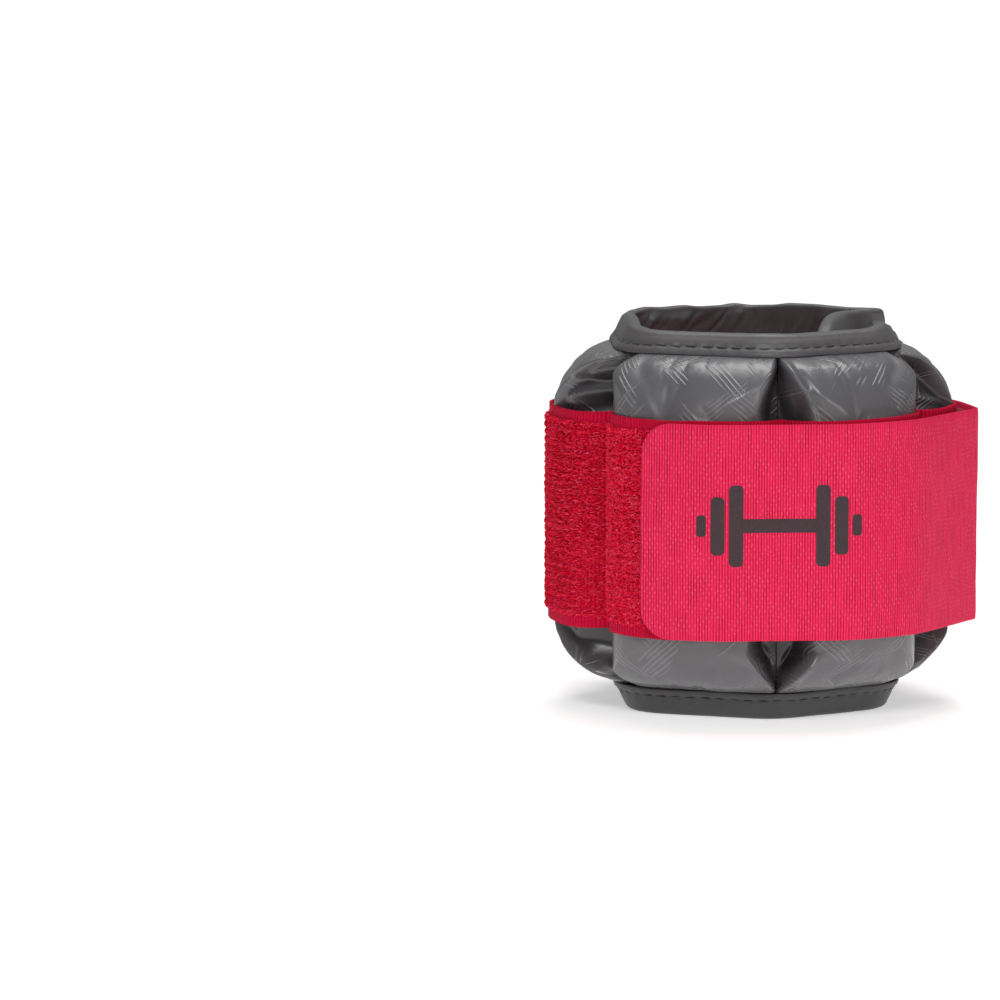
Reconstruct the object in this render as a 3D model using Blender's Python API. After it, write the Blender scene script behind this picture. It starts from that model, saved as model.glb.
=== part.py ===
"""Ankle cuff weight: six sand-filled pouches hinged at their seams, a plain tuck-in tab and a hook-and-loop strap.

The cuff stands on its lower binding with its axis up. Drawn in millimetres, built in metres.
Every pouch is drawn in its own frame: x along the wall, n outwards, z up from mid height.
"""

import math

import bmesh
import bpy
import numpy as np

# ---- driving dimensions, millimetres ----
MM = 0.001
HEIGHT = 90.0  # over the bindings
SEAMS = {  # plan position of each seam line, clockwise from the free end
    "v0": (33.5, 8.6),
    "v1": (33.0, -17.5),
    "v2": (4.3, -36.5),
    "v3": (-31.5, -23.0),
    "v4": (-33.0, 15.6),
    "v5": (-3.2, 36.4),
    "v6": (31.0, 22.0),
}
POUCHES = {  # name: (first seam, second seam, bulge of the shell, the seam it turns on)
    "a": ("v0", "v1", 11.6, "v1"),
    "b": ("v1", "v2", 13.1, "v2"),
    "c": ("v2", "v3", 13.1, "v3"),
    "d": ("v3", "v4", 13.1, None),
    "e": ("v4", "v5", 13.1, "v4"),
    "f": ("v5", "v6", 13.1, "v5"),
}
CENTRE = (1.378, -1.425)  # of the bounding box in plan, moved to the origin
SHEET = 0.8  # shell and lining thickness
GAP = 0.3  # between neighbouring layers
SEAM_GAP = 0.25  # from a seam line to the end of a panel
MARGIN = 0.9  # from a seam line to the foot of the bulge
FOOT = 37.4  # mid height to the foot of the bulge
FLAT = 25.8  # mid height to the end of the band that the strap holds flat
EDGE = 43.2  # mid height to the raw edge inside the binding
INNER_BULGE = 3.0  # of the lining, towards the leg
BIND_TALL = 7.2
BIND_THICK = 3.7
BIND_SLOT = 2.5
LEAN = 4.0  # the rims lean inwards this far
STRAP_WIDE = 50.0
LOOP_THICK = 1.9
WEB_THICK = 0.8
HOOK_THICK = 0.8
SPAN_THICK = 1.4
CREASE = (50.2, -10.0)  # where the strap turns over the edge of the first pouch
STRAP_SPLIT = (4.0, -47.6)  # over the valley between pouches b and c
TIP_X = -26.3  # end of the strap
TIP_RADIUS = 7.0
TAB_PATH = [(31.0, 22.0), (26.6, 17.0), (24.4, 11.0), (23.4, 4.0), (21.7, -3.5), (18.9, -11.0), (15.0, -18.5)]


# ---- scene, materials, parents ----
def clear_scene():
    for obj in list(bpy.data.objects):
        bpy.data.objects.remove(obj, do_unlink=True)


def material(name, colour, roughness, metallic=0.0):
    mat = bpy.data.materials.new(name)
    mat.use_nodes = True
    bsdf = mat.node_tree.nodes["Principled BSDF"]
    bsdf.inputs["Base Color"].default_value = (*colour, 1.0)
    bsdf.inputs["Roughness"].default_value = roughness
    bsdf.inputs["Metallic"].default_value = metallic
    mat.diffuse_color = (*colour, 1.0)
    return mat


def empty(name, location, angle, parent):
    obj = bpy.data.objects.new(name, None)
    obj.empty_display_size = 0.01
    collection.objects.link(obj)
    obj.parent = parent
    obj.location = [v * MM for v in location]
    obj.rotation_euler = (0.0, 0.0, angle)
    return obj


def add_object(name, bm, mat, parent, shift=(0.0, 0.0)):
    """A node from a bmesh in millimetres, placed at shift in its parent's frame."""
    bmesh.ops.recalc_face_normals(bm, faces=bm.faces)
    bmesh.ops.scale(bm, vec=(MM, MM, MM), verts=bm.verts)
    mesh = bpy.data.meshes.new(name)
    bm.to_mesh(mesh)
    bm.free()
    mesh.materials.append(MATERIALS[mat])
    obj = bpy.data.objects.new(name, mesh)
    collection.objects.link(obj)
    obj.parent = parent
    obj.location = (shift[0] * MM, shift[1] * MM, 0.0)
    return obj


# ---- shapes ----
def lean(z):
    return -LEAN * min(1.0, max(0.0, (abs(z) - 36.5) / 8.5))


def two_sided(top, bottom):
    """A closed sheet between two grids of points with the same rows and columns."""
    bm = bmesh.new()
    rows, cols = len(top), len(top[0])
    up = [[bm.verts.new(p) for p in row] for row in top]
    down = [[bm.verts.new(p) for p in row] for row in bottom]
    for i in range(rows - 1):
        for j in range(cols - 1):
            bm.faces.new((up[i][j], up[i + 1][j], up[i + 1][j + 1], up[i][j + 1]))
            bm.faces.new((down[i][j], down[i][j + 1], down[i + 1][j + 1], down[i + 1][j]))
    for i in range(rows - 1):
        for j in (0, cols - 1):
            bm.faces.new((up[i][j], up[i + 1][j], down[i + 1][j], down[i][j]))
    for j in range(cols - 1):
        for i in (0, rows - 1):
            bm.faces.new((up[i][j], up[i][j + 1], down[i][j + 1], down[i][j]))
    return bm


def swept(sections):
    """A closed bar through sections, each a ring of points in the same order."""
    bm = bmesh.new()
    rings = [[bm.verts.new(p) for p in ring] for ring in sections]
    count = len(rings[0])
    for first, second in zip(rings, rings[1:]):
        for k in range(count):
            m = (k + 1) % count
            bm.faces.new((first[k], first[m], second[m], second[k]))
    bm.faces.new(rings[0])
    bm.faces.new(rings[-1])
    return bm


def signed_power(v, e):
    return math.copysign(abs(v) ** e, v)


def bulge_columns(half, steps):
    """(x, height share) across a pouch: a superellipse, foot to foot."""
    out = []
    for k in range(steps + 1):
        a = math.pi * (k / steps - 0.5)
        out.append((half * signed_power(math.sin(a), 2 / 2.4), max(0.0, math.cos(a)) ** (2 / 2.4)))
    return out


def bulge_rows(foot, steps):
    """(z, height share) up a pouch: flat under the strap, rounded towards both rims."""
    upper = []
    for k in range(steps + 1):
        a = math.pi / 2 * k / steps
        upper.append((FLAT + (foot - FLAT) * math.sin(a) ** (2 / 1.5), max(0.0, math.cos(a)) ** (2 / 1.5)))
    return [(-z, g) for z, g in reversed(upper)] + [(0.0, 1.0)] + upper


class Wall:
    """The frame of one pouch, with the mitre that its panels need at each seam."""

    def __init__(self, name):
        first, second, self.bulge, hinge = POUCHES[name]
        p, q = np.array(SEAMS[first]), np.array(SEAMS[second])
        self.name = name
        self.mid = (p + q) / 2
        self.length = float(np.linalg.norm(q - p))
        self.half = self.length / 2
        self.along = (q - p) / self.length
        self.out = np.array([-self.along[1], self.along[0]])
        self.angle = math.atan2(self.along[1], self.along[0])
        self.hinge = np.array(SEAMS[hinge]) if hinge else self.mid
        self.mitre = {-1: 0.0, 1: 0.0}

    def place(self, x, n, z):
        """Leans a point with the rims, and draws it back from the seam where the inside of the bend is tight."""
        n += lean(z)
        if n < 0:
            x *= 1 + n * self.mitre[1 if x > 0 else -1] / self.half
        return (x, n, z)

    def to_plan(self, x, n):
        return self.mid + self.along * x + self.out * n

    def shift(self):
        d = self.mid - self.hinge
        return (float(d @ self.along), float(d @ self.out))


def grid(wall, columns, rows, base, bulge, ends=None, edge=None):
    """Points of one face of a panel: the bulge, with flat flanges out to ends and edge."""
    cols = list(columns)
    if ends:
        cols = [(-ends[0], 0.0)] + cols + [(ends[1], 0.0)]
    zs = list(rows)
    if edge:
        zs = [(-edge, 0.0)] + zs + [(edge, 0.0)]
    return [[wall.place(x, base + bulge * f * g, z) for z, g in zs] for x, f in cols]


def ring(wall, x, profile):
    return [wall.place(x, n, z) for n, z in profile]


def binding_profile(sign):
    """The folded tape in section, open towards mid height."""
    o, s, lip = BIND_THICK / 2, BIND_SLOT / 2, HEIGHT / 2 - BIND_TALL
    top, roof = HEIGHT / 2, HEIGHT / 2 - 1.4
    shape = [
        (-o, lip), (-o, top - 0.6), (-o + 0.6, top), (o - 0.6, top), (o, top - 0.6), (o, lip),
        (s, lip), (s, roof), (-s, roof), (-s, lip),
    ]
    return [(n, sign * z) for n, z in shape]


def plan_normals(path, start_mitre=None):
    """At each point of a plan path, the outward direction, stretched at bends so that offsets stay parallel."""
    pts = [np.array(p, float) for p in path]
    out = []
    for k in range(len(pts)):
        dirs = []
        if k > 0:
            dirs.append(pts[k] - pts[k - 1])
        if k < len(pts) - 1:
            dirs.append(pts[k + 1] - pts[k])
        ns = [np.array([-d[1], d[0]]) / np.linalg.norm(d) for d in dirs]
        n = sum(ns)
        n /= np.linalg.norm(n)
        out.append(n / max(0.5, float(n @ ns[0])))
    return pts, out


def ribbon(path, low, high, half_tall, pivot):
    """A flat band standing on edge along a plan path, between two offsets; half_tall gives its half width at each point."""
    pts, ns = plan_normals(path)
    top, bottom = [], []
    for k, (p, n) in enumerate(zip(pts, ns)):
        h = half_tall[k]
        a, b = p + n * high - pivot, p + n * low - pivot
        top.append([(a[0], a[1], z) for z in (-h, 0.0, h)])
        bottom.append([(b[0], b[1], z) for z in (-h, 0.0, h)])
    return two_sided(top, bottom)


def hull(points):
    """The taut line round points, in the clockwise order of the cuff."""
    pts = sorted({(round(float(x), 6), round(float(y), 6)) for x, y in points})

    def chain(seq):
        out = []
        for p in seq:
            while len(out) > 1 and (out[-1][0] - out[-2][0]) * (p[1] - out[-2][1]) - (out[-1][1] - out[-2][1]) * (p[0] - out[-2][0]) <= 0:
                out.pop()
            out.append(p)
        return out[:-1]

    loop = chain(pts) + chain(pts[::-1])
    return loop[::-1]


def taut_path(points, start, end):
    """The clockwise part of the taut line from the point nearest start to the one nearest end."""
    loop = hull(points)
    near = lambda q: min(range(len(loop)), key=lambda k: math.dist(loop[k], q))
    i, j = near(start), near(end)
    count = len(loop)
    return [loop[(i + k) % count] for k in range((j - i) % count + 1)]


def spaced(path, step):
    """The path with points added so that none are further apart than step."""
    out = [path[0]]
    for a, b in zip(path, path[1:]):
        count = max(1, math.ceil(math.dist(a, b) / step))
        out += [(a[0] + (b[0] - a[0]) * k / count, a[1] + (b[1] - a[1]) * k / count) for k in range(1, count + 1)]
    return out


def trimmed(path, at_start, at_end):
    """The path shortened at each end by a length along it."""
    for cut in (at_start, at_end):
        left = cut
        while left > 0 and len(path) > 2 and math.dist(path[0], path[1]) <= left:
            left -= math.dist(path[0], path[1])
            path = path[1:]
        if left > 0:
            d = math.dist(path[0], path[1])
            path = [tuple(path[0][i] + (path[1][i] - path[0][i]) * left / d for i in (0, 1))] + path[1:]
        path = path[::-1]
    return path


# ---- build ----
clear_scene()
old = bpy.data.collections.get("ankle_cuff_weight")
if old:
    bpy.data.collections.remove(old)
collection = bpy.data.collections.new("ankle_cuff_weight")
bpy.context.scene.collection.children.link(collection)

MATERIALS = {
    "shell_pu": material("shell_pu", (0.085, 0.083, 0.088), 0.38),
    "binding_pu": material("binding_pu", (0.072, 0.070, 0.073), 0.45),
    "lining_red": material("lining_red", (0.42, 0.004, 0.028), 0.85),
    "sand_bag": material("sand_bag", (0.22, 0.20, 0.18), 0.8),
    "loop_red": material("loop_red", (0.45, 0.004, 0.03), 0.95),
    "web_red": material("web_red", (0.70, 0.022, 0.08), 0.7),
    "hook_red": material("hook_red", (0.50, 0.006, 0.03), 0.5),
}

cuff = empty("cuff", (-CENTRE[0], -CENTRE[1], HEIGHT / 2), 0.0, None)
walls = {name: Wall(name) for name in POUCHES}
order = list(POUCHES)
tab_turn = math.atan2(TAB_PATH[1][1] - TAB_PATH[0][1], TAB_PATH[1][0] - TAB_PATH[0][0])
for first, second in zip(order, order[1:]):
    turn = (walls[first].angle - walls[second].angle) % (2 * math.pi)
    walls[first].mitre[1] = walls[second].mitre[-1] = math.tan(turn / 2)
walls["f"].mitre[1] = math.tan(((walls["f"].angle - tab_turn) % (2 * math.pi)) / 2)

pivots = {}
for name, wall in walls.items():
    pivots[name] = empty(f"pouch_{name}_pivot", (*wall.hinge, 0.0), wall.angle, cuff)

END_FLANGE = 3.0  # the free end of pouch a runs this far past its seam line, inside its end binding
for name, wall in walls.items():
    parent, shift = pivots[name], wall.shift()
    half, bulge = wall.half - MARGIN, wall.bulge
    left = wall.half + END_FLANGE if name == "a" else wall.half - SEAM_GAP
    ends = (left, wall.half - SEAM_GAP)
    base = GAP / 2
    # shell: an open-backed dome with a flat flange all round
    rows, cols = bulge_rows(FOOT, 4), bulge_columns(half, 12)
    inner_rows, inner_cols = bulge_rows(FOOT - SHEET, 4), bulge_columns(half - SHEET, 12)
    bm = two_sided(
        grid(wall, cols, rows, base + SHEET, bulge, ends, EDGE),
        grid(wall, inner_cols, inner_rows, base, bulge, ends, EDGE),
    )
    add_object(f"shell_{name}", bm, "shell_pu", parent, shift)
    # the bag of sand inside it
    clear = SHEET + GAP + 0.5
    bm = two_sided(
        grid(wall, bulge_columns(half - clear, 8), bulge_rows(FOOT - clear, 3), base + 0.2, bulge - 2 * GAP - 0.1),
        grid(wall, bulge_columns(half - clear, 8), bulge_rows(FOOT - clear, 3), base, -(INNER_BULGE - GAP)),
    )
    add_object(f"sand_bag_{name}", bm, "sand_bag", parent, shift)
    # brushed lining, bulging gently towards the leg
    cols, rows = bulge_columns(half, 6), bulge_rows(FOOT, 2)
    bm = two_sided(
        grid(wall, cols, rows, -base, -INNER_BULGE, ends, EDGE),
        grid(wall, cols, rows, -base - SHEET, -INNER_BULGE, ends, EDGE),
    )
    add_object(f"lining_{name}", bm, "lining_red", parent, shift)
    # folded tape over the upper and lower edges
    far = wall.half + 0.6 if name == "a" else ends[0]
    for label, sign in (("upper", 1), ("lower", -1)):
        bm = swept([ring(wall, x, binding_profile(sign)) for x in (-far if name != "a" else -(wall.half + 4.6), 0.0, ends[1])])
        add_object(f"binding_{label}_{name}", bm, "binding_pu", parent, shift)
    # loop tape sewn round the outside, following the bulge
    low_cols, high_cols = bulge_columns(half + GAP, 16), bulge_columns(half + GAP + LOOP_THICK, 16)
    keep = slice(2, -2)
    zs = [(z, 1.0) for z in (-STRAP_WIDE / 2, 0.0, STRAP_WIDE / 2)]
    loop_base = base + SHEET + GAP
    bm = two_sided(
        grid(wall, high_cols[keep], zs, loop_base + LOOP_THICK, bulge),
        grid(wall, low_cols[keep], zs, loop_base, bulge),
    )
    add_object(f"loop_{name}", bm, "loop_red", parent, shift)

# folded tape over the free end of pouch a, between its upper and lower bindings
wall = walls["a"]
o, s = BIND_THICK / 2, BIND_SLOT / 2
x0, x1 = -(wall.half + 4.6), -(wall.half + 0.6)
shape = [(x1, -o), (x0 + 0.6, -o), (x0, -o + 0.6), (x0, o - 0.6), (x0 + 0.6, o), (x1, o), (x1, s), (x0 + 1.2, s), (x0 + 1.2, -s), (x1, -s)]
tall = HEIGHT / 2 - BIND_TALL - GAP - 1.2
bm = swept([[(x, n, z) for x, n in shape] for z in (-tall, tall)])
add_object("binding_end_a", bm, "binding_pu", pivots["a"], wall.shift())

# tuck-in tab, on the far edge of pouch f: two sheets with folded tape over three edges
tab_pivot = empty("tab_pivot", (*SEAMS["v6"], 0.0), 0.0, cuff)
pivot = np.array(SEAMS["v6"])
MITRE = walls["f"].mitre[1]


def tab_section(k, profile, cut):
    """One section of the tab at path point k; the first is mitred against pouch f."""
    pts, ns = plan_normals(TAB_PATH)
    step = (pts[1] - pts[0]) / np.linalg.norm(pts[1] - pts[0])
    back = (pts[-2] - pts[-1]) / np.linalg.norm(pts[-2] - pts[-1])
    out = []
    for n, z in profile:
        p = pts[k] + ns[k] * n - pivot
        if k == 0:
            p = p + step * (SEAM_GAP + max(0.0, -n) * MITRE)
        if k == len(pts) - 1:
            p = p + back * cut
        out.append((p[0], p[1], z))
    return out


def sheet_profile(low, high):
    return [(low, -EDGE), (low, EDGE), (high, EDGE), (high, -EDGE)]


last = len(TAB_PATH)
base = GAP / 2
for label, low, high, mat in (("tab_cover", base, base + SHEET, "shell_pu"), ("tab_lining", -base - SHEET, -base, "lining_red")):
    bm = swept([tab_section(k, sheet_profile(low, high), 1.6) for k in range(last)])
    add_object(label, bm, mat, tab_pivot)
for label, sign in (("upper", 1), ("lower", -1)):
    bm = swept([tab_section(k, binding_profile(sign), 0.0) for k in range(last)])
    add_object(f"tab_binding_{label}", bm, "binding_pu", tab_pivot)
pts, ns = plan_normals(TAB_PATH)
back = (pts[-2] - pts[-1]) / np.linalg.norm(pts[-2] - pts[-1])
end = pts[-1] - pivot
shape = [(4.8, -o), (0.6, -o), (0.0, -o + 0.6), (0.0, o - 0.6), (0.6, o), (4.8, o), (4.8, s), (1.2, s), (1.2, -s), (4.8, -s)]
tall = HEIGHT / 2 - BIND_TALL - GAP
bm = swept([[(*(end + back * a + ns[-1] * n), z) for a, n in shape] for z in (-tall, tall)])
add_object("tab_binding_end", bm, "binding_pu", tab_pivot)


# ---- strap: taut over the loop tape, with a crease past pouch a ----
def loop_profile(name, extra):
    """Plan points of the loop tape's outer face on a pouch, moved out by extra."""
    w = walls[name]
    top = GAP / 2 + SHEET + GAP + LOOP_THICK + extra
    cols = bulge_columns(w.half - MARGIN + GAP + LOOP_THICK + extra, 24)
    return [tuple(w.to_plan(x, top + w.bulge * f)) for x, f in cols]


strap_in = GAP + 0.15
start = walls["f"].to_plan(2.0, GAP / 2 + SHEET + GAP + LOOP_THICK + strap_in + walls["f"].bulge)
span_points = [p for p in loop_profile("f", strap_in)] + loop_profile("a", strap_in) + [CREASE, (0.0, 0.0)]
span_path = taut_path(span_points, start, CREASE)
tail_points = loop_profile("b", strap_in) + loop_profile("c", strap_in) + [CREASE, (0.0, 0.0)]
tail_path = taut_path(tail_points, CREASE, walls["c"].to_plan(15.0, 14.0))
# split over the valley, and end at the tip
split = next(k for k in range(len(tail_path) - 1) if tail_path[k][0] >= STRAP_SPLIT[0] > tail_path[k + 1][0])
a, b = tail_path[split], tail_path[split + 1]
t = (a[0] - STRAP_SPLIT[0]) / (a[0] - b[0])
turn_point = (STRAP_SPLIT[0], a[1] + (b[1] - a[1]) * t)
front_path = tail_path[: split + 1] + [turn_point]
tip_path = [turn_point] + tail_path[split + 1 :]
k = next(k for k in range(len(tip_path) - 1) if tip_path[k][0] >= TIP_X > tip_path[k + 1][0])
a, b = tip_path[k], tip_path[k + 1]
t = (a[0] - TIP_X) / (a[0] - b[0])
tip_path = tip_path[: k + 1] + [(TIP_X, a[1] + (b[1] - a[1]) * t)]

half_wide = STRAP_WIDE / 2
whole = HOOK_THICK + GAP + WEB_THICK
axis_out = whole / 2


def offset_point(path, k, distance):
    pts, ns = plan_normals(path)
    return pts[k] + ns[k] * distance


crease_axis = np.array(CREASE) + np.array([math.cos(math.radians(-8)), math.sin(math.radians(-8))]) * axis_out
tip_axis = offset_point(tail_path, split, axis_out) * 0 + np.array(turn_point) + plan_normals([front_path[-2], turn_point, tip_path[1]])[1][1] * axis_out

span_pivot = empty("strap_span_pivot", (*SEAMS["v6"], 0.0), 0.0, cuff)
strap_pivot = empty("strap_pivot", (*crease_axis, 0.0), 0.0, cuff)
tip_pivot = empty("strap_tip_pivot", (*tip_axis, 0.0), 0.0, cuff)

path = spaced(trimmed(span_path, 0.0, 1.7), 9.0)
add_object("strap_span", ribbon(path, 0.0, SPAN_THICK, [half_wide] * len(path), np.array(SEAMS["v6"])), "web_red", span_pivot)
path = spaced(trimmed(front_path, 1.6, 1.2), 9.0)
flat = [half_wide] * len(path)
add_object("strap_hook", ribbon(path, 0.0, HOOK_THICK, [half_wide - 1.5] * len(path), crease_axis), "hook_red", strap_pivot)
add_object("strap_web", ribbon(path, HOOK_THICK + GAP, whole, flat, crease_axis), "web_red", strap_pivot)


def rounded_end(path, radius, half):
    """Extra points near the end of a path, with the half width there, for round corners."""
    run = trimmed(path, 0.0, radius)
    ends = []
    for deg in (0, 30, 55, 75, 90):
        cut = radius * (1 - math.sin(math.radians(deg)))
        p = trimmed(path, 0.0, cut)[-1] if cut > 0 else path[-1]
        ends.append((tuple(p), half - radius + radius * math.cos(math.radians(deg))))
    pts = [tuple(p) for p in spaced(run, 9.0)]
    return pts[:-1] + [p for p, _ in ends], [half] * (len(pts) - 1) + [h for _, h in ends]


path, tall = rounded_end(trimmed(tip_path, 1.2, 0.0), TIP_RADIUS, half_wide)
add_object("strap_tip_web", ribbon(path, HOOK_THICK + GAP, whole, tall, tip_axis), "web_red", tip_pivot)
path, tall = rounded_end(trimmed(tip_path, 1.2, 1.5), TIP_RADIUS - 1.5, half_wide - 1.5)
add_object("strap_tip_hook", ribbon(path, 0.0, HOOK_THICK, tall, tip_axis), "hook_red", tip_pivot)

bpy.context.view_layer.update()
print("hinge axes, metres:")
for obj in collection.objects:
    if obj.type == "EMPTY":
        x, y, z = obj.matrix_world.translation
        print(f"  {obj.name}: {x:.5f} {y:.5f} {z:.5f}")
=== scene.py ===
import math

import bmesh
import bpy
import numpy as np
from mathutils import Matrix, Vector


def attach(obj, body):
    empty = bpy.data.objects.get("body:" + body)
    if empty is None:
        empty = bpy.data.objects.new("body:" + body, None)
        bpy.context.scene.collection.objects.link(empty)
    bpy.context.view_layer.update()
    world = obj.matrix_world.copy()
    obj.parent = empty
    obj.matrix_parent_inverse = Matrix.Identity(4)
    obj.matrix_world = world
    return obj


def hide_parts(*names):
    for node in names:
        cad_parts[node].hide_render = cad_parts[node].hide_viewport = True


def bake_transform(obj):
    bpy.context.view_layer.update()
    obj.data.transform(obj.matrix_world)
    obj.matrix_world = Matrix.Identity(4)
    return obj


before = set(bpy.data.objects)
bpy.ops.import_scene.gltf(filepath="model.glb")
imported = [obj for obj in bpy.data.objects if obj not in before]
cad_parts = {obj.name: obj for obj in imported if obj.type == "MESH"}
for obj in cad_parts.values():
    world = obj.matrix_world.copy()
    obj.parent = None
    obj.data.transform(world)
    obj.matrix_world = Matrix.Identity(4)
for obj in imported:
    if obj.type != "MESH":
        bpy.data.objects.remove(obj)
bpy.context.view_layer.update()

# Everything below is worked out in mm in the frame of the CAD, z up from the floor, and built in metres.
MM = 0.001
RNG = np.random.default_rng(7)
HALF_HIGH = 45.0  # half the cuff's height over its bindings
MID_Z = HALF_HIGH
OFF = np.array([-1.378, 1.425])  # from the plan's own origin to the frame's
SEAMS = OFF + np.array(
    [(33.5, 8.6), (33.0, -17.5), (4.3, -36.5), (-31.5, -23.0), (-33.0, 15.6), (-3.2, 36.4), (31.0, 22.0)]
)
NAMES = "abcdef"
FREE_END = 4.6  # how far the wall runs on past the first seam
TAB_TURN = 6.0  # the tab's own line starts this far before the last seam


# ---------------------------------------------------------------- maths
def smooth(t, a, b):
    """An even step from 0 at a to 1 at b."""
    t = np.clip((t - a) / (b - a), 0, 1)
    return t * t * (3 - 2 * t)


def points(*parts):
    """Coordinates that broadcast together, side by side in the last axis."""
    return np.stack(np.broadcast_arrays(*parts), -1)


def hashed(ix, iy, iz, seed):
    h = (ix * 374761393 + iy * 668265263 + iz * 2147483647 + seed * 1274126177) & 0xFFFFFFFF
    h = ((h ^ (h >> 13)) * 1274126177) & 0xFFFFFFFF
    return ((h ^ (h >> 16)) & 0xFFFF) / 65535.0


def noise(p, size, seed=0):
    """Smooth value noise from -1 to 1 at points p, with features of this size."""
    q = np.asarray(p, float) / size
    i = np.floor(q).astype(np.int64)
    f = q - i
    f = f * f * (3 - 2 * f)
    out = 0.0
    for dx, dy, dz in np.ndindex(2, 2, 2):
        x, y, z = (f[..., a] if far else 1 - f[..., a] for a, far in enumerate((dx, dy, dz)))
        out = out + x * y * z * hashed(i[..., 0] + dx, i[..., 1] + dy, i[..., 2] + dz, seed)
    return out * 2 - 1


def run_along(line):
    """The distance along a line at each of its points."""
    return np.concatenate([[0], np.cumsum(np.linalg.norm(np.diff(line, axis=0), axis=1))])


def between(s, run, line):
    """The plan points, or plan normals, at distances s of a line with distances run."""
    return np.stack([np.interp(s, run, line[:, i]) for i in (0, 1)], -1)


def normals(line):
    """Unit normals on the outer side of a clockwise plan line."""
    d = np.gradient(line, axis=0)
    d /= np.linalg.norm(d, axis=1)[:, None]
    return np.stack([-d[:, 1], d[:, 0]], 1)


def bow(start, bend, end, steps):
    """A curve from start to end, drawn towards bend."""
    t = np.linspace(0, 1, steps)[:, None]
    return (1 - t) ** 2 * np.array(start) + 2 * t * (1 - t) * np.array(bend) + t * t * np.array(end)


class Path:
    """A plan line with outward normals, found by the distance along it."""

    def __init__(self, corners, radius=0.0, soften=0.0, step=0.2):
        pts = [np.array(p, float) for p in corners]
        line, corner_at = [pts[0]], []
        for a, b, c in zip(pts, pts[1:], pts[2:]):
            u, v = (b - a) / np.linalg.norm(b - a), (c - b) / np.linalg.norm(c - b)
            turn = math.acos(np.clip(u @ v, -1, 1))
            if radius and turn > 0.05:
                cut = radius * math.tan(turn / 2)
                centre = b - u * cut + np.array([u[1], -u[0]]) * radius
                start = math.atan2(*(b - u * cut - centre)[::-1])
                for t in np.linspace(0, 1, 25):
                    ang = start - turn * t
                    line.append(centre + radius * np.array([math.cos(ang), math.sin(ang)]))
                    if t == 0.5:
                        corner_at.append(len(line) - 1)
            else:
                line.append(b)
                corner_at.append(len(line) - 1)
        line = np.array([*line, pts[-1]])
        run = run_along(line)
        self.corner_at = [run[i] for i in corner_at]
        self.s = np.linspace(0, run[-1], max(8, int(run[-1] / step)))
        self.length = self.s[-1]
        xy = between(self.s, run, line)
        if soften:
            half = int(3 * soften / step)
            kernel = np.exp(-0.5 * (np.arange(-half, half + 1) * step / soften) ** 2)
            kernel /= kernel.sum()
            padded = np.concatenate([2 * xy[0] - xy[half:0:-1], xy, 2 * xy[-1] - xy[-2 : -half - 2 : -1]])
            xy = np.stack([np.convolve(padded[:, i], kernel, "valid") for i in (0, 1)], 1)
        self.redraw(xy)

    def redraw(self, xy):
        self.xy, self.n = xy, normals(xy)

    def at(self, s):
        return between(s, self.s, self.xy), between(s, self.s, self.n)

    def place(self, s, n, z):
        """Points s along the line, n out from it and z up."""
        s, n, z = np.broadcast_arrays(s, n, z)
        p, m = self.at(s)
        m = m / np.linalg.norm(m, axis=-1)[..., None]
        return np.concatenate([p + m * n[..., None], z[..., None]], -1)


def lean(z):
    """How far the upper and lower rims stand in from the wall line."""
    return -4.0 * np.clip((np.abs(z - MID_Z) - 36.5) / 8.5, 0, 1)


free_dir = (SEAMS[0] - SEAMS[1]) / np.linalg.norm(SEAMS[0] - SEAMS[1])
wall = Path([SEAMS[0] + free_dir * FREE_END, *SEAMS[1:]], radius=15.0)
SEAM_S = np.array([FREE_END, *wall.corner_at, wall.length])
MID_S = (SEAM_S[:-1] + SEAM_S[1:]) / 2
SEGMENTS = [  # the pouches it joins, from, to, letters of the CAD's pieces that it stands for
    ("ab", 0.0, MID_S[1], "ab"),
    ("bc", MID_S[1], MID_S[2], ""),
    ("cd", MID_S[2], MID_S[3], "cd"),
    ("de", MID_S[3], MID_S[4], "e"),
    ("ef", MID_S[4], wall.length, "f"),
]


# ---------------------------------------------------------------- meshes
def new_object(name, verts, faces, mat, uv=None, smooth_shade=True, values=None):
    """A mesh object from points in mm and faces: one array, or a list of arrays of one face size each."""
    mesh = bpy.data.meshes.new(name)
    groups = faces if isinstance(faces, list) else [faces]
    groups = [np.asarray(g, np.int32) for g in groups if len(g)]
    loops = np.concatenate([g.reshape(-1) for g in groups])
    sizes = np.concatenate([np.full(len(g), g.shape[1], np.int32) for g in groups])
    verts = np.asarray(verts, float).reshape(-1, 3)
    mesh.vertices.add(len(verts))
    mesh.vertices.foreach_set("co", (verts * MM).astype(np.float32).ravel())
    mesh.loops.add(len(loops))
    mesh.loops.foreach_set("vertex_index", loops)
    mesh.polygons.add(len(sizes))
    mesh.polygons.foreach_set("loop_start", np.concatenate([[0], np.cumsum(sizes)[:-1]]).astype(np.int32))
    mesh.polygons.foreach_set("loop_total", sizes)
    mesh.update(calc_edges=True)
    mesh.validate()
    if uv is not None:
        layer = mesh.uv_layers.new(name="UVMap")
        layer.data.foreach_set("uv", np.asarray(uv, np.float32).reshape(-1, 2)[loops].ravel())
    for key, value in (values or {}).items():
        layer = mesh.attributes.new(key, "FLOAT", "POINT")
        layer.data.foreach_set("value", np.asarray(value, np.float32).ravel())
    if smooth_shade:
        mesh.polygons.foreach_set("use_smooth", sizes <= 4)
    mesh.materials.append(mat)
    obj = bpy.data.objects.new(name, mesh)
    bpy.context.scene.collection.objects.link(obj)
    return obj


def turned_out(obj):
    """The object with its faces turned outwards."""
    bm = bmesh.new()
    bm.from_mesh(obj.data)
    bmesh.ops.recalc_face_normals(bm, faces=bm.faces)
    bm.to_mesh(obj.data)
    bm.free()
    return obj


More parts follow.
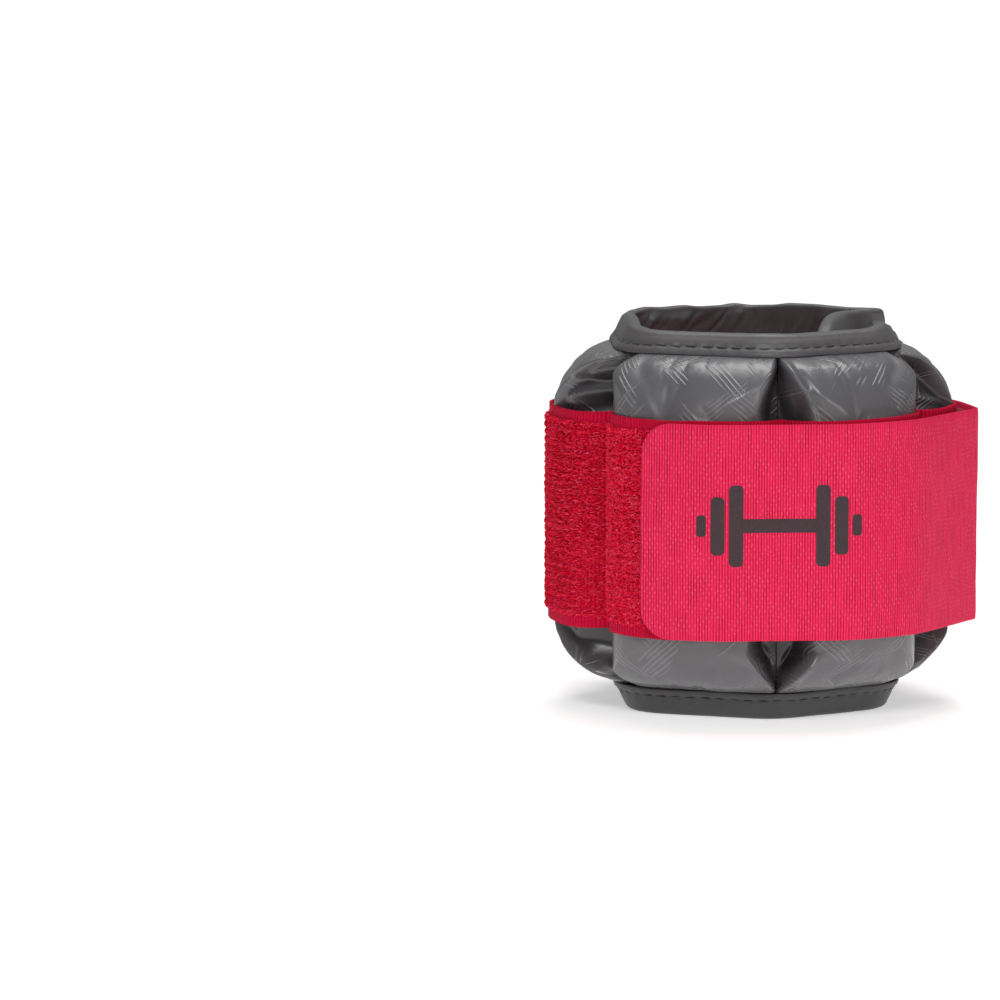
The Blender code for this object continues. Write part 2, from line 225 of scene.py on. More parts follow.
def grid_faces(rows, cols, closed=False, start=0):
    i, j = np.meshgrid(np.arange(rows - 1), np.arange(cols if closed else cols - 1), indexing="ij")
    k = (j + 1) % cols
    q = np.stack([i * cols + j, (i + 1) * cols + j, (i + 1) * cols + k, i * cols + k], -1)
    return q.reshape(-1, 4) + start


def bar(name, rings, mat, caps=(True, True), uv=None):
    """A closed bar through rings of points, with a flat face at each end not joined to another piece."""
    rows, cols = rings.shape[:2]
    ends = [np.arange(cols)[None, :], ((rows - 1) * cols + np.arange(cols))[None, ::-1]]
    faces = [grid_faces(rows, cols, closed=True), *[end for end, cap in zip(ends, caps) if cap]]
    return turned_out(new_object(name, rings, faces, mat, uv=uv))


def both_faces(outer, inner):
    """The rings of a sheet: out over one face and back over the other."""
    return np.concatenate([outer, inner[:, ::-1]], 1)


def capsules(name, starts, ends, radius, mat, sides=6):
    """Short rounded threads between pairs of points, as one mesh."""
    starts, ends = np.asarray(starts, float), np.asarray(ends, float)
    d = ends - starts
    length = np.linalg.norm(d, axis=1, keepdims=True)
    d /= length
    side = np.cross(d, np.array([0.03, 0.02, 1.0]))
    bad = np.linalg.norm(side, axis=1) < 0.2
    side[bad] = np.cross(d[bad], np.array([1.0, 0.02, 0.03]))
    side /= np.linalg.norm(side, axis=1, keepdims=True)
    other = np.cross(d, side)
    stations = [(-0.02, 0.25), (0.03, 0.75), (0.15, 1.0), (0.5, 1.08)]
    stations += [(0.85, 1.0), (0.97, 0.75), (1.02, 0.25)]
    ang = np.linspace(0, 2 * math.pi, sides, endpoint=False)
    spokes = np.cos(ang)[None, :, None] * side[:, None, :] + np.sin(ang)[None, :, None] * other[:, None, :]
    rings = [(starts + d * length * t)[:, None, :] + radius * r * spokes for t, r in stations]
    last = (len(stations) - 1) * sides
    base = (np.arange(len(starts)) * (last + sides))[:, None, None]
    quads = (grid_faces(len(stations), sides, closed=True)[None] + base).reshape(-1, 4)
    caps = (np.array([np.arange(sides), last + np.arange(sides)[::-1]])[None] + base).reshape(-1, sides)
    return turned_out(new_object(name, np.stack(rings, 1), [quads, caps], mat))


# ---------------------------------------------------------------- materials
class Nodes:
    def __init__(self, name):
        self.mat = bpy.data.materials.new(name)
        self.mat.use_nodes = True
        self.tree = self.mat.node_tree
        self.bsdf = self.tree.nodes["Principled BSDF"]

    def node(self, kind, **settings):
        n = self.tree.nodes.new(kind)
        for key, value in settings.items():
            setattr(n, key, value)
        return n

    def put(self, socket, value):
        """A constant, or a link from another node, into a socket."""
        if isinstance(value, bpy.types.NodeSocket):
            self.tree.links.new(value, socket)
        elif isinstance(value, tuple):
            socket.default_value = (*value, 1)
        else:
            socket.default_value = value

    def math(self, op, *values, clamp=False):
        n = self.node("ShaderNodeMath", operation=op, use_clamp=clamp)
        for socket, value in zip(n.inputs, values):
            self.put(socket, value)
        return n.outputs[0]

    def plus(self, a, b, clamp=False):
        return self.math("ADD", a, b, clamp=clamp)

    def minus(self, a, b):
        return self.math("SUBTRACT", a, b)

    def times(self, a, b):
        return self.math("MULTIPLY", a, b)

    def over(self, a, b):
        return self.math("DIVIDE", a, b)

    def stripes(self, x, pitch):
        """0 in the middle of each stripe this wide, 0.5 at its edges."""
        return self.math("ABSOLUTE", self.minus(self.math("FRACT", self.over(x, pitch)), 0.5))

    def mix(self, factor, a, b):
        n = self.node("ShaderNodeMix", data_type="RGBA")
        for k, value in ((0, factor), (6, a), (7, b)):
            self.put(n.inputs[k], value)
        return n.outputs[2]

    def ramp(self, value, low, high, out_low=0.0, out_high=1.0):
        n = self.node("ShaderNodeMapRange", interpolation_type="SMOOTHSTEP")
        for k, v in enumerate((value, low, high, out_low, out_high)):
            self.put(n.inputs[k], v)
        return n.outputs[0]

    def object_mm(self):
        n = self.node("ShaderNodeVectorMath", operation="SCALE")
        self.put(n.inputs[0], self.node("ShaderNodeTexCoord").outputs["Object"])
        n.inputs["Scale"].default_value = 1 / MM
        return n.outputs[0]

    def cloth_mm(self):
        """The flat cloth coordinates in mm: along the piece and across it."""
        n = self.node("ShaderNodeSeparateXYZ")
        self.put(n.inputs[0], self.node("ShaderNodeUVMap", uv_map="UVMap").outputs[0])
        return n.outputs[0], n.outputs[1]

    def attribute(self, name):
        return self.node("ShaderNodeAttribute", attribute_name=name).outputs["Fac"]

    def combine(self, x, y, z=0.0):
        n = self.node("ShaderNodeCombineXYZ")
        for k, v in enumerate((x, y, z)):
            self.put(n.inputs[k], v)
        return n.outputs[0]

    def noise(self, vector, scale, detail=3.0, rough=0.5):
        n = self.node("ShaderNodeTexNoise")
        self.put(n.inputs["Vector"], vector)
        n.inputs["Scale"].default_value = scale
        n.inputs["Detail"].default_value = detail
        n.inputs["Roughness"].default_value = rough
        return n.outputs["Fac"]

    def patches(self, x, y, long, wide, z=0.0, detail=1.0, rough=0.5):
        """Noise in patches this long and wide over flat cloth coordinates."""
        return self.noise(self.combine(self.over(x, long), self.over(y, wide), z), 1.0, detail, rough)

    def bump(self, height, distance_mm, strength):
        n = self.node("ShaderNodeBump")
        n.inputs["Strength"].default_value = strength
        n.inputs["Distance"].default_value = distance_mm * MM
        self.put(n.inputs["Height"], height)
        return n.outputs[0]

    def done(self, colour, rough, normal=None, **sockets):
        self.put(self.bsdf.inputs["Base Color"], colour)
        self.put(self.bsdf.inputs["Roughness"], rough)
        if normal is not None:
            self.put(self.bsdf.inputs["Normal"], normal)
        for key, value in sockets.items():
            self.bsdf.inputs[key.replace("_", " ")].default_value = value
        return self.mat


def line_bundles(m, x, y, angle, pitch, across, seed, threshold):
    """Short parallel pressed lines in loose bundles: their height, 0 to 1, at flat cloth coordinates x, y."""
    along = 16.0
    c, s = math.cos(math.radians(angle)), math.sin(math.radians(angle))
    u = m.plus(m.times(x, c), m.times(y, s))
    v = m.minus(m.times(y, c), m.times(x, s))
    wobbly = m.plus(v, m.times(m.noise(m.combine(u, v, seed), 0.08, 1.0), 0.15))
    line = m.ramp(m.stripes(wobbly, pitch), 0.30, 0.08)
    bundle = m.patches(u, v, along, across, seed, 1.5, 0.4)
    row = m.math("FLOOR", m.over(wobbly, pitch))
    each = m.noise(m.combine(m.over(u, along * 0.8), row, seed + 9.0), 1.0, 0.0)
    keep = m.times(m.ramp(bundle, threshold, threshold + 0.05), m.ramp(each, 0.30, 0.42))
    return m.times(line, keep)


def shell_material():
    m = Nodes("shell_pu")
    x, y = m.cloth_mm()
    obj = m.object_mm()
    one_way = line_bundles(m, x, y, 42, 1.15, 6.0, 3.0, 0.55)
    other_way = line_bundles(m, x, y, -43, 1.10, 5.5, 17.0, 0.56)
    lines = m.math("MAXIMUM", one_way, other_way)
    grain = m.noise(obj, 4.5, 4.0, 0.6)
    cloud = m.noise(obj, 0.09, 3.0)
    colour = m.mix(cloud, (0.088, 0.086, 0.092), (0.122, 0.118, 0.124))
    # the pressed lines are painted lighter, as painted highlights along them; their bump and lower roughness
    # below are their real relief and gloss
    colour = m.mix(m.times(lines, 0.44), colour, (0.27, 0.265, 0.275))
    # painted shade: the cover's colour goes towards near black by its 'deep' attribute, in the sunk valleys
    # beside the seams, the drawn-in gussets and the folds' hollows
    colour = m.mix(m.times(m.attribute("deep"), 0.86), colour, (0.014, 0.011, 0.013))
    rough = m.plus(m.ramp(cloud, 0.3, 0.7, 0.30, 0.38), m.times(lines, -0.12))
    relief = m.bump(m.plus(lines, m.times(grain, 0.16)), 0.13, 0.8)
    return m.done(colour, rough, relief, Coat_Weight=0.22, Coat_Roughness=0.16, Specular_IOR_Level=0.6)


def binding_material(name, shade):
    m = Nodes(name)
    obj = m.object_mm()
    grain = m.noise(obj, 3.6, 4.0, 0.6)
    # a shade below 1 makes a darker copy of the same tape: painted shade
    dark, pale = (tuple(c * shade for c in tone) for tone in ((0.075, 0.071, 0.074), (0.100, 0.095, 0.099)))
    colour = m.mix(m.noise(obj, 0.16, 3.0), dark, pale)
    rough = m.ramp(grain, 0.3, 0.7, 0.40, 0.50)
    return m.done(colour, rough, m.bump(grain, 0.09, 0.55), Coat_Weight=0.06, Coat_Roughness=0.3)


def thread_material():
    m = Nodes("thread_dark")
    ply = m.noise(m.object_mm(), 6.0, 2.0)
    colour = m.mix(ply, (0.008, 0.007, 0.008), (0.03, 0.028, 0.03))
    return m.done(colour, 0.55, m.bump(ply, 0.06, 0.6), Sheen_Weight=0.2)


def lining_material():
    m = Nodes("lining_red")
    obj = m.object_mm()
    nap = m.noise(obj, 2.6, 4.0, 0.7)
    colour = m.mix(m.times(nap, m.noise(obj, 0.22, 3.0)), (0.30, 0.003, 0.018), (0.66, 0.014, 0.06))
    sheen = {"Sheen_Weight": 0.6, "Sheen_Roughness": 0.4, "Sheen_Tint": (1, 0.25, 0.35, 1)}
    return m.done(colour, 0.9, m.bump(nap, 0.35, 0.9), **sheen)


def loop_tape_material():
    m = Nodes("loop_red")
    x, y = m.cloth_mm()
    height = m.plus(m.ramp(m.stripes(x, 0.45), 0.1, 0.45), m.times(m.stripes(y, 0.6), 0.6))
    fine = m.noise(m.object_mm(), 2.2, 3.0)
    colour = m.mix(m.times(height, fine), (0.44, 0.001, 0.022), (0.80, 0.007, 0.066))
    sheen = {"Sheen_Weight": 0.05, "Sheen_Roughness": 0.4, "Sheen_Tint": (1, 0.3, 0.4, 1)}
    return m.done(colour, 0.85, m.bump(height, 0.12, 0.8), Specular_IOR_Level=0.1, **sheen)


def fuzz_material():
    m = Nodes("loop_pile_red")
    cloud = m.noise(m.object_mm(), 0.5, 3.0)
    tone = m.plus(m.attribute("tone"), m.times(m.minus(cloud, 0.5), 0.8), clamp=True)
    # the lightest tones, on about seven loops in a hundred, are painted glints on the pile, which has no
    # specular; the other tones differ at random
    colour = m.mix(tone, (0.86, 0.0002, 0.022), (1.0, 0.100, 0.220))
    return m.done(colour, 0.7, Specular_IOR_Level=0.0)


WEB_RIB, WEB_ROW = 0.62, 1.02  # the strap's warp ribs, and the rows of its small knots


def web_material():
    m = Nodes("web_red")
    x, y = m.cloth_mm()
    obj = m.object_mm()
    rib = m.ramp(m.stripes(x, WEB_RIB), 0.08, 0.34)
    wavy = m.plus(y, m.times(m.patches(x, y, 2.4, 5.0), 2.2))
    row = m.math("ABSOLUTE", m.math("FLOOR", m.over(wavy, WEB_ROW)))
    shift = m.times(m.math("MODULO", row, 2.0), WEB_RIB)
    across = m.ramp(m.stripes(m.plus(x, shift), 2 * WEB_RIB), 0.26, 0.10)
    knot = m.times(across, m.ramp(m.stripes(wavy, WEB_ROW), 0.36, 0.10))
    knot = m.times(knot, m.ramp(m.noise(obj, 0.45, 2.0), 0.36, 0.62, 0.15, 1.0))
    knot = m.times(knot, m.ramp(m.math("ABSOLUTE", y), 23.6, 22.8))
    ply = m.ramp(m.patches(x, y, 0.31, 9.0), 0.30, 0.70, 0.45, 1.0)
    colour = m.mix(m.noise(obj, 0.06, 2.0), (0.84, 0.018, 0.090), (0.95, 0.026, 0.114))
    colour = m.mix(m.times(m.minus(1.0, rib), ply), colour, (0.34, 0.001, 0.016))
    colour = m.mix(m.times(knot, 0.38), colour, (1.0, 0.150, 0.250))
    fray = m.noise(obj, 5.0, 2.0)
    relief = m.bump(m.plus(m.plus(m.times(rib, 0.8), m.times(knot, 0.8)), m.times(fray, 0.25)), 0.13, 0.75)
    sheen = {"Sheen_Weight": 0.02, "Sheen_Roughness": 0.45, "Sheen_Tint": (1, 0.45, 0.55, 1)}
    return m.done(colour, 0.66, relief, Specular_IOR_Level=0.15, **sheen)


def hook_material():
    m = Nodes("hook_red")
    x, y = m.cloth_mm()
    v = m.node("ShaderNodeTexVoronoi")
    m.put(v.inputs["Vector"], m.combine(m.over(x, 1.1), m.over(y, 1.3)))
    v.inputs["Scale"].default_value = 1.0
    v.inputs["Randomness"].default_value = 0.35
    stub = m.ramp(v.outputs["Distance"], 0.45, 0.15)
    color = m.mix(stub, (0.28, 0.003, 0.018), (0.66, 0.016, 0.06))
    return m.done(color, 0.5, m.bump(stub, 0.5, 0.8), Sheen_Weight=0.15)


def print_material():
    m = Nodes("print_dark")
    rib = m.stripes(m.cloth_mm()[0], 0.46)
    fray = m.noise(m.object_mm(), 4.0, 3.0)
    worn = m.times(m.ramp(rib, 0.36, 0.02), m.ramp(fray, 0.45, 0.7))
    colour = m.mix(worn, (0.030, 0.014, 0.019), (0.11, 0.018, 0.03))
    return m.done(colour, 0.6, m.bump(m.ramp(rib, 0.02, 0.36), 0.07, 0.6))


SHELL, THREAD, LINING = shell_material(), thread_material(), lining_material()
# the lower tape is the same tape at half brightness: painted shade on its downward face
BINDING, BINDING_LOW_SHADED = binding_material("binding_pu", 1.0), binding_material("binding_pu_low_shaded", 0.50)
LOOP, FUZZ = loop_tape_material(), fuzz_material()
WEB, HOOK, PRINT = web_material(), hook_material(), print_material()


# ---------------------------------------------------------------- joining pieces to bodies
def bend_over(obj, line, s, reach):
    """Bakes a finished piece's placement into its mesh; nothing is bent, and the points found on the line are
    unused.
    """
    a, b = line.at(np.array(s - reach))[0], line.at(np.array(s + reach))[0]
    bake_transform(obj)


def on_segment(obj, name):
    """Bakes a finished piece's placement into its mesh, given its segment's seam; nothing is bent."""
    bend_over(obj, wall, SEAM_S[NAMES.index(name[1])], 7.0)


def on_pouch(obj, letter):
    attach(obj, f"pouch_{letter}")


def pouch_u(s):
    """Which pouch each s lies on, and where across it, from -1 to 1."""
    k = np.clip(np.searchsorted(SEAM_S, s, side="right") - 1, 0, 5)
    a, b = SEAM_S[k], SEAM_S[k + 1]
    return k, (s - (a + b) / 2) / ((b - a) / 2)


# ---------------------------------------------------------------- bindings
def rounded_profile(corners, radius, steps):
    """A closed section with its corners rounded."""
    corners = np.array(corners)
    out = []
    for a, p, b in zip(np.roll(corners, 1, axis=0), corners, np.roll(corners, -1, axis=0)):
        to_a, to_b = np.linalg.norm(a - p), np.linalg.norm(b - p)
        r = min(radius, to_a / 2.1, to_b / 2.1)
        out.append(bow(p + (a - p) / to_a * r, p, p + (b - p) / to_b * r, steps))
    return np.concatenate(out)


def resampled(section, step):
    closed = np.concatenate([section, section[:1]])
    run = run_along(closed)
    return between(np.linspace(0, run[-1], int(run[-1] / step), endpoint=False), run, closed)


# n outwards, h down from the folded edge: over the edge and down outside, the stitches and the bead below
# them, up round the panel's edge and down inside
BIND_PROFILE = resampled(
    rounded_profile(
        [(-1.7, 0.3), (-0.7, 0.0), (0.7, 0.0), (1.45, 0.5), (1.52, 2.4), (1.42, 4.2)]
        + [(1.24, 4.6), (1.80, 5.05), (1.95, 5.8), (1.6, 6.6), (0.8, 6.5)]
        + [(0.9, 4.2), (-0.9, 4.2), (-0.75, 9.6), (-1.5, 9.9)]
        + [(-1.75, 8.6), (-1.6, 4.5), (-1.8, 2.4)],
        0.55,
        4,
    ),
    0.40,
)
STITCH, STITCH_HALF, STITCH_DOWN = 3.4, 1.22, 4.6  # pitch, half a stitch's length, distance below the fold
FRONT_DIP, END_DIP = 1.5, 2.4  # how far the upper rim dips at the front and towards the free end
FLOOR_GAP = 0.02


def binding_points(s, sign, seed):
    """Points of a folded tape along s, with the pull of its stitches and the creases that the bend leaves."""
    n, h = BIND_PROFILE.T[:, None, :]
    s = s[:, None]
    outer, inner = smooth(n, 0.2, 1.2), smooth(-n, 0.2, 1.2)
    z0 = MID_Z + sign * (HALF_HIGH - h)
    near_edge = smooth(-h, -4.3, 0.0)

    def along(size, kind):
        return noise(points(s, 0, 0), size, kind)

    q = points(s, z0, n * 3.0)
    pull = 0.10 * np.cos(2 * math.pi * s / STITCH) * np.exp(-(((h - STITCH_DOWN) / 0.9) ** 2))
    dn = pull + 0.10 * noise(q, 6.0, 11 + seed) * smooth(h, 0.4, 2.0) + 0.05 * noise(q, 2.2, 12 + seed)
    # no creases where the tab's tape begins
    calm = smooth(-s, TAB_TURN - wall.length, TAB_TURN + 5.0 - wall.length)
    crease = 1.1 * np.abs(noise(points(s + h * 0.7, h * 0.25, 0), 3.4, 21 + seed)) ** 1.2
    fold = 1.3 * np.maximum(noise(points(s - h * 0.5, h * 0.2, 0), 7.5, 23 + seed), 0) ** 1.5
    dn = outer * dn - inner * calm * (crease + fold - 0.2) * smooth(h, 0.4, 3.0)
    dz = (0.16 * along(11.0, 32 + seed) + 0.10 * along(3.5, 33 + seed) * inner) * smooth(-h, -2.5, 0.0)
    dz = (0.22 * along(9.0, 31 + seed) * smooth(h, 5.5, 7.0) + dz) * calm
    if sign > 0:  # the rim puckers at the back and dips at the front, more so towards the free end
        y = wall.at(s)[0][..., 1]
        dz = dz + 0.55 * smooth(y, 2.0, 16.0) * calm * along(5.5, 35) * near_edge
        free = smooth(-s, -SEAM_S[1] - 4.0, -10.0)
        dz = dz + np.maximum(FRONT_DIP * smooth(-y, 4.0, 24.0), END_DIP * free) * near_edge
        z = z0 - dz
    else:  # the lower one stands on the floor
        z = np.maximum(z0 + np.where(h < 1.0, np.minimum(dz, 0.0), dz), FLOOR_GAP)
    return wall.place(s, n + dn + lean(z0), z)


def binding_stitches(name, s0, s1, sign):
    count = max(1, int((s1 - s0) / STITCH))
    centre = s0 + (np.arange(count) + 0.5) * (s1 - s0) / count
    z = MID_Z + sign * (HALF_HIGH - STITCH_DOWN - RNG.normal(0, 0.05, count))
    ends = (-STITCH_HALF, STITCH_HALF)
    a, b = (wall.place(centre + e, 1.30 + lean(z), z + RNG.normal(0, 0.05, count)) for e in ends)
    return capsules(name, a, b, 0.26, THREAD)


for label, sign, seed, mat in (("upper", 1, 0, BINDING), ("lower", -1, 40, BINDING_LOW_SHADED)):
    for name, s0, s1, stands in SEGMENTS:
        s1 -= TAB_TURN if name == "ef" else 0.0
        rings = binding_points(np.linspace(s0, s1, int((s1 - s0) / 0.45)), sign, seed)
        obj = bar(f"tape_{label}_{name}", rings, mat, caps=(name == "ab", False))
        on_segment(obj, name)
        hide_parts(*[f"binding_{label}_{k}" for k in stands])
        on_segment(binding_stitches(f"stitches_{label}_{name}", s0 + 0.6, s1, sign), name)


# ---------------------------------------------------------------- shell covers
BULGE = np.array([11.8, 13.3, 13.3, 13.3, 13.3, 13.3])  # how far each pouch stands out
RIM = 38.6  # half the height of a cover, to where its binding holds it
FOOT = 0.7  # how far out its edges are sewn down
SWAP = 1.5  # half the height over which the upper corners' shapes give way to the lower ones'


def f_across(u):
    """A pouch's roundness across it, over u from -1 to 1."""
    round_by = 2.05
    return np.maximum(0, 1 - np.abs(u) ** round_by) ** (1 / round_by)


def g_up(dz):
    """A pouch's roundness up it: full behind the loop tape, then down to its rims."""
    t = np.clip((np.abs(dz) - 23.5) / (RIM - 23.5), 0, 1)
    return np.maximum(0, 1 - t**1.62) ** (1 / 1.55)


# How a cover turns down to a seam at a corner, given as pouch, side (0 where the pouch starts) and top or
# bottom: how far from the seam its panel starts at the rim and further in, how wide the steep part is, and
# how round the panel's edge is, as a share of its height.
WALL_USUAL = (1.8, 3.4, 3.6, 0.10)
WALL_AT = {
    ("a", 1, 1): (1.6, 8.0, 5.0, 0.20),
    ("a", 1, -1): (1.5, 8.0, 5.0, 0.16),
    ("b", 0, 1): (1.8, 3.6, 3.6, 0.05),
    ("b", 0, -1): (2.2, 3.0, 3.2, 0.05),
    ("b", 1, 1): (0.6, 4.8, 2.2, 0.10),
    ("b", 1, -1): (0.3, 4.9, 1.7, 0.04),
    ("c", 0, 1): (0.6, 3.8, 2.0, 0.08),
    ("c", 0, -1): (0.3, 4.9, 1.7, 0.04),
    ("c", 1, 1): (1.8, 3.0, 3.2, 0.04),
    ("c", 1, -1): (2.2, 3.0, 3.2, 0.04),
    ("d", 0, 1): (1.6, 9.0, 5.5, 0.24),
    ("d", 0, -1): (1.4, 8.0, 4.5, 0.20),
    ("d", 1, -1): (0.8, 6.0, 3.0, 0.10),
    ("e", 0, 1): (1.0, 6.0, 3.0, 0.10),
    ("e", 0, -1): (0.8, 5.0, 3.0, 0.10),
    ("e", 1, 1): (1.2, 5.5, 3.5, 0.20),
    ("f", 0, 1): (1.2, 4.5, 3.0, 0.08),
}
# Folds drawn on a cover near a corner: three points of a curve as distances from the seam and from the rim,
# the fold's half width, and how far it stands out or in.
FOLDS_AT = {
    ("b", 0, 1): [((4.5, 1.0), (6.5, 4.5), (11.0, 7.0), 1.3, -0.7)],
    ("b", 0, -1): [],
    ("c", 1, 1): [((6.0, 0.8), (7.0, 3.5), (9.0, 6.0), 1.2, -0.5)],
    ("c", 1, -1): [],
    ("b", 1, 1): [
        ((0.8, 0.8), (1.7, 6.0), (3.2, 13.5), 1.15, 3.8),
        ((2.4, 1.2), (4.0, 6.5), (5.3, 14.0), 0.7, -1.4),
    ],
    ("b", 1, -1): [
        ((1.0, 1.5), (1.9, 5.0), (3.6, 8.0), 1.0, 2.3),
        ((1.5, 6.5), (2.7, 9.5), (4.6, 11.0), 0.8, -1.3),
    ],
    ("c", 0, -1): [
        ((0.9, 1.5), (2.4, 3.6), (3.5, 8.0), 0.9, 2.1),
        ((1.1, 8.0), (2.2, 9.5), (4.2, 12.0), 0.8, -1.1),
    ],
    ("c", 0, 1): [((1.6, 5.0), (3.0, 9.0), (4.6, 13.0), 1.0, 0.5)],
    ("d", 0, 1): [
        ((1.2, 0.8), (8.0, 2.6), (13.5, 15.5), 0.8, 1.9),
        ((1.5, 5.2), (4.8, 7.6), (8.4, 7.2), 1.2, -2.2),
        ((1.6, 8.6), (5.0, 10.0), (10.0, 11.0), 0.9, 1.0),
        ((2.0, 11.0), (6.0, 12.5), (9.5, 17.0), 1.6, -1.4),
    ],
    ("d", 0, -1): [
        ((1.0, 1.0), (6.5, 3.6), (12.5, 14.0), 1.0, 1.7),
        ((1.0, 4.0), (4.5, 7.5), (8.5, 12.5), 1.7, -2.6),
    ],
    ("a", 1, 1): [
        ((1.0, 0.8), (8.0, 2.6), (13.0, 15.5), 0.8, 1.9),
        ((3.2, 3.6), (5.4, 6.0), (8.6, 11.0), 1.9, -3.2),
        ((1.6, 7.0), (3.4, 11.5), (9.0, 13.0), 0.7, 1.7),
    ],
    ("a", 1, -1): [
        ((1.0, 1.0), (3.6, 6.0), (9.5, 12.5), 1.1, 2.0),
        ((3.4, 2.4), (7.2, 4.6), (11.5, 11.5), 1.9, -2.8),
    ],
}
# how far each of these corners is drawn in behind its first fold
GUSSETS = {("d", 0, 1): 1.8, ("d", 0, -1): 1.4, ("a", 1, 1): 2.0, ("a", 1, -1): 1.4}


def fold_weight(d, e, start, bend, end, width):
    """1 along a curve drawn on the cover, falling to 0 beside it and at its ends."""
    out = np.zeros(d.shape)
    for (x, y), ang in zip(bow(start, bend, end, 48), np.linspace(0.15, math.pi - 0.15, 48)):
        out = np.maximum(out, math.sin(ang) ** 0.6 * np.exp(-((d - x) ** 2 + (e - y) ** 2) / width**2))
    return out


def random_folds(seed):
    rng = np.random.default_rng(seed)
    folds = []
    for _ in range(rng.integers(2, 5)):
        ang, reach = math.radians(rng.uniform(15, 80)), rng.uniform(6, 14)
        d0, e0 = rng.uniform(0.6, 3.5), rng.uniform(0.8, 4.0)
        d1, e1 = d0 + math.cos(ang) * reach, e0 + math.sin(ang) * reach
        bend = ((d0 + d1) / 2 + rng.uniform(-2, 2), (e0 + e1) / 2 + rng.uniform(-2, 2))
        deep, width = rng.uniform(0.7, 1.7), rng.uniform(0.8, 1.5)
        folds.append(((d0, e0), bend, (d1, e1), width, -deep))
        folds.append(((d0 + 1.4, e0), (bend[0] + 1.6, bend[1] - 0.6), (d1 + 1.2, e1 - 0.8), 0.9, deep * 0.55))
    return folds


def cover_grid(k):
    """Distances along the wall and from mid height for a cover's points, closer together near its edges."""
    t = np.linspace(-1, 1, 73)
    u = np.sin(t * math.pi / 2) * 0.5 + t * 0.5
    t = np.linspace(-1, 1, 113)
    z = RIM * (0.45 * t + 0.55 * np.sin(t * math.pi / 2))
    a, b = SEAM_S[k], SEAM_S[k + 1]
    return np.meshgrid((a + b) / 2 + u * (b - a) / 2, z, indexing="ij")


def soft_least(a, b, k):
    h = np.clip(0.5 + 0.5 * (b - a) / k, 0, 1)
    return b * (1 - h) + a * h - k * h * (1 - h)


def cover_corners(k, s, dz):
    """Each corner of a cover: its key, distances from its seam and its rim, and its share of each point."""
    for side, d in ((0, s - SEAM_S[k]), (1, SEAM_S[k + 1] - s)):
        for up in (1, -1):
            yield (NAMES[k], side, up), np.maximum(d, 0), RIM - np.abs(dz), smooth(dz * up, -SWAP, SWAP)


def cover_rest(k, s, dz):
    """A cover's points before it is inflated, and how much of it is sunk beside a seam, 0 to 1."""
    a, b = SEAM_S[k], SEAM_S[k + 1]
    u = (2 * s - a - b) / (b - a)
    shape = panel = 1.0 - 0.10 * np.abs(u) ** 2.2
    for key, d, e, share in cover_corners(k, s, dz):
        rim_w, deep_w, steep, edge = WALL_AT.get(key, WALL_USUAL)
        corner = 3.2 * np.clip(1 - e / 4.5, 0, 1) ** 2 if rim_w > 1.2 else 0.0
        width = rim_w + (deep_w - rim_w) * smooth(e, -3.0, 12.0) + corner
        steep_part = smooth(d, width - np.minimum(steep, width + 0.4), width + 0.5)
        rise = 0.16 * np.minimum(d / width, 1.5) + 0.90 * steep_part
        shape = shape + share * (soft_least(rise, panel, edge) - panel)
    shape = np.maximum(shape, 0)
    n = FOOT + BULGE[k] * shape * g_up(dz)
    n = np.minimum(n, FOOT + BULGE[k] * np.maximum(f_across(u), 0.02) * 1.02 + 0.2)
    return wall.place(s, n + lean(dz + MID_Z), dz + MID_Z), smooth(1 - shape / panel, 0.12, 0.80)


def gussets(k, s, dz):
    """How much of a cover's surface lies in a drawn-in gusset, 0 to 1, and how far in it is."""
    inside, depth = np.zeros(s.shape), np.zeros(s.shape)
    for key, d, e, share in cover_corners(k, s, dz):
        if key in GUSSETS:
            line = bow(*FOLDS_AT[key][0][:3], 30)
            edge = np.interp(e, line[:, 1], line[:, 0])
            part = share * (1 - smooth(d, edge - 1.8, edge - 0.2)) * smooth(e, 0.4, 2.0)
            inside = inside + part
            depth = depth + part * GUSSETS[key] * smooth(d, 0.0, 3.0)
    return inside, depth


def cover_folds(k, s, dz):
    """How far the folds and puckers near its corners and its binding push a cover out or in."""
    total = np.zeros(s.shape)
    for key, d, e, share in cover_corners(k, s, dz):
        seed = 1000 + 16 * k + 4 * key[1] + (key[2] > 0)
        folds = FOLDS_AT[key] if key in FOLDS_AT else random_folds(seed)
        for *curve, width, height in folds:
            total += share * height * fold_weight(d, e, *curve, width)
    e = RIM - np.abs(dz)
    rim = points(s, np.sign(dz) * 40.0, 0)
    total += (0.42 * noise(rim, 3.1, 60 + k) + 0.22 * noise(rim, 1.6, 70 + k)) * np.exp(-e / 3.2)
    total += 0.16 * noise(points(s, dz, 0), 7.0, 80 + k)
    return total * smooth(np.minimum(s - SEAM_S[k], SEAM_S[k + 1] - s), 0.0, 0.9) * smooth(e, 0.0, 1.3)


def drawn_share(k, s, dz):
    """1 near a cover's corners, whose folds are drawn, down to 0 where the simulation shapes it."""
    kept = np.zeros(s.shape)
    for _, d, e, share in cover_corners(k, s, dz):
        kept = np.maximum(kept, share * (1 - smooth(d, 6.5, 12.0)) * (1 - smooth(e, 13.0, 19.0)))
    return kept


plans = {letter: cover_grid(k) for k, letter in enumerate(NAMES)}
covers = {letter: cover_rest(k, *plans[letter]) for k, letter in enumerate(NAMES)}

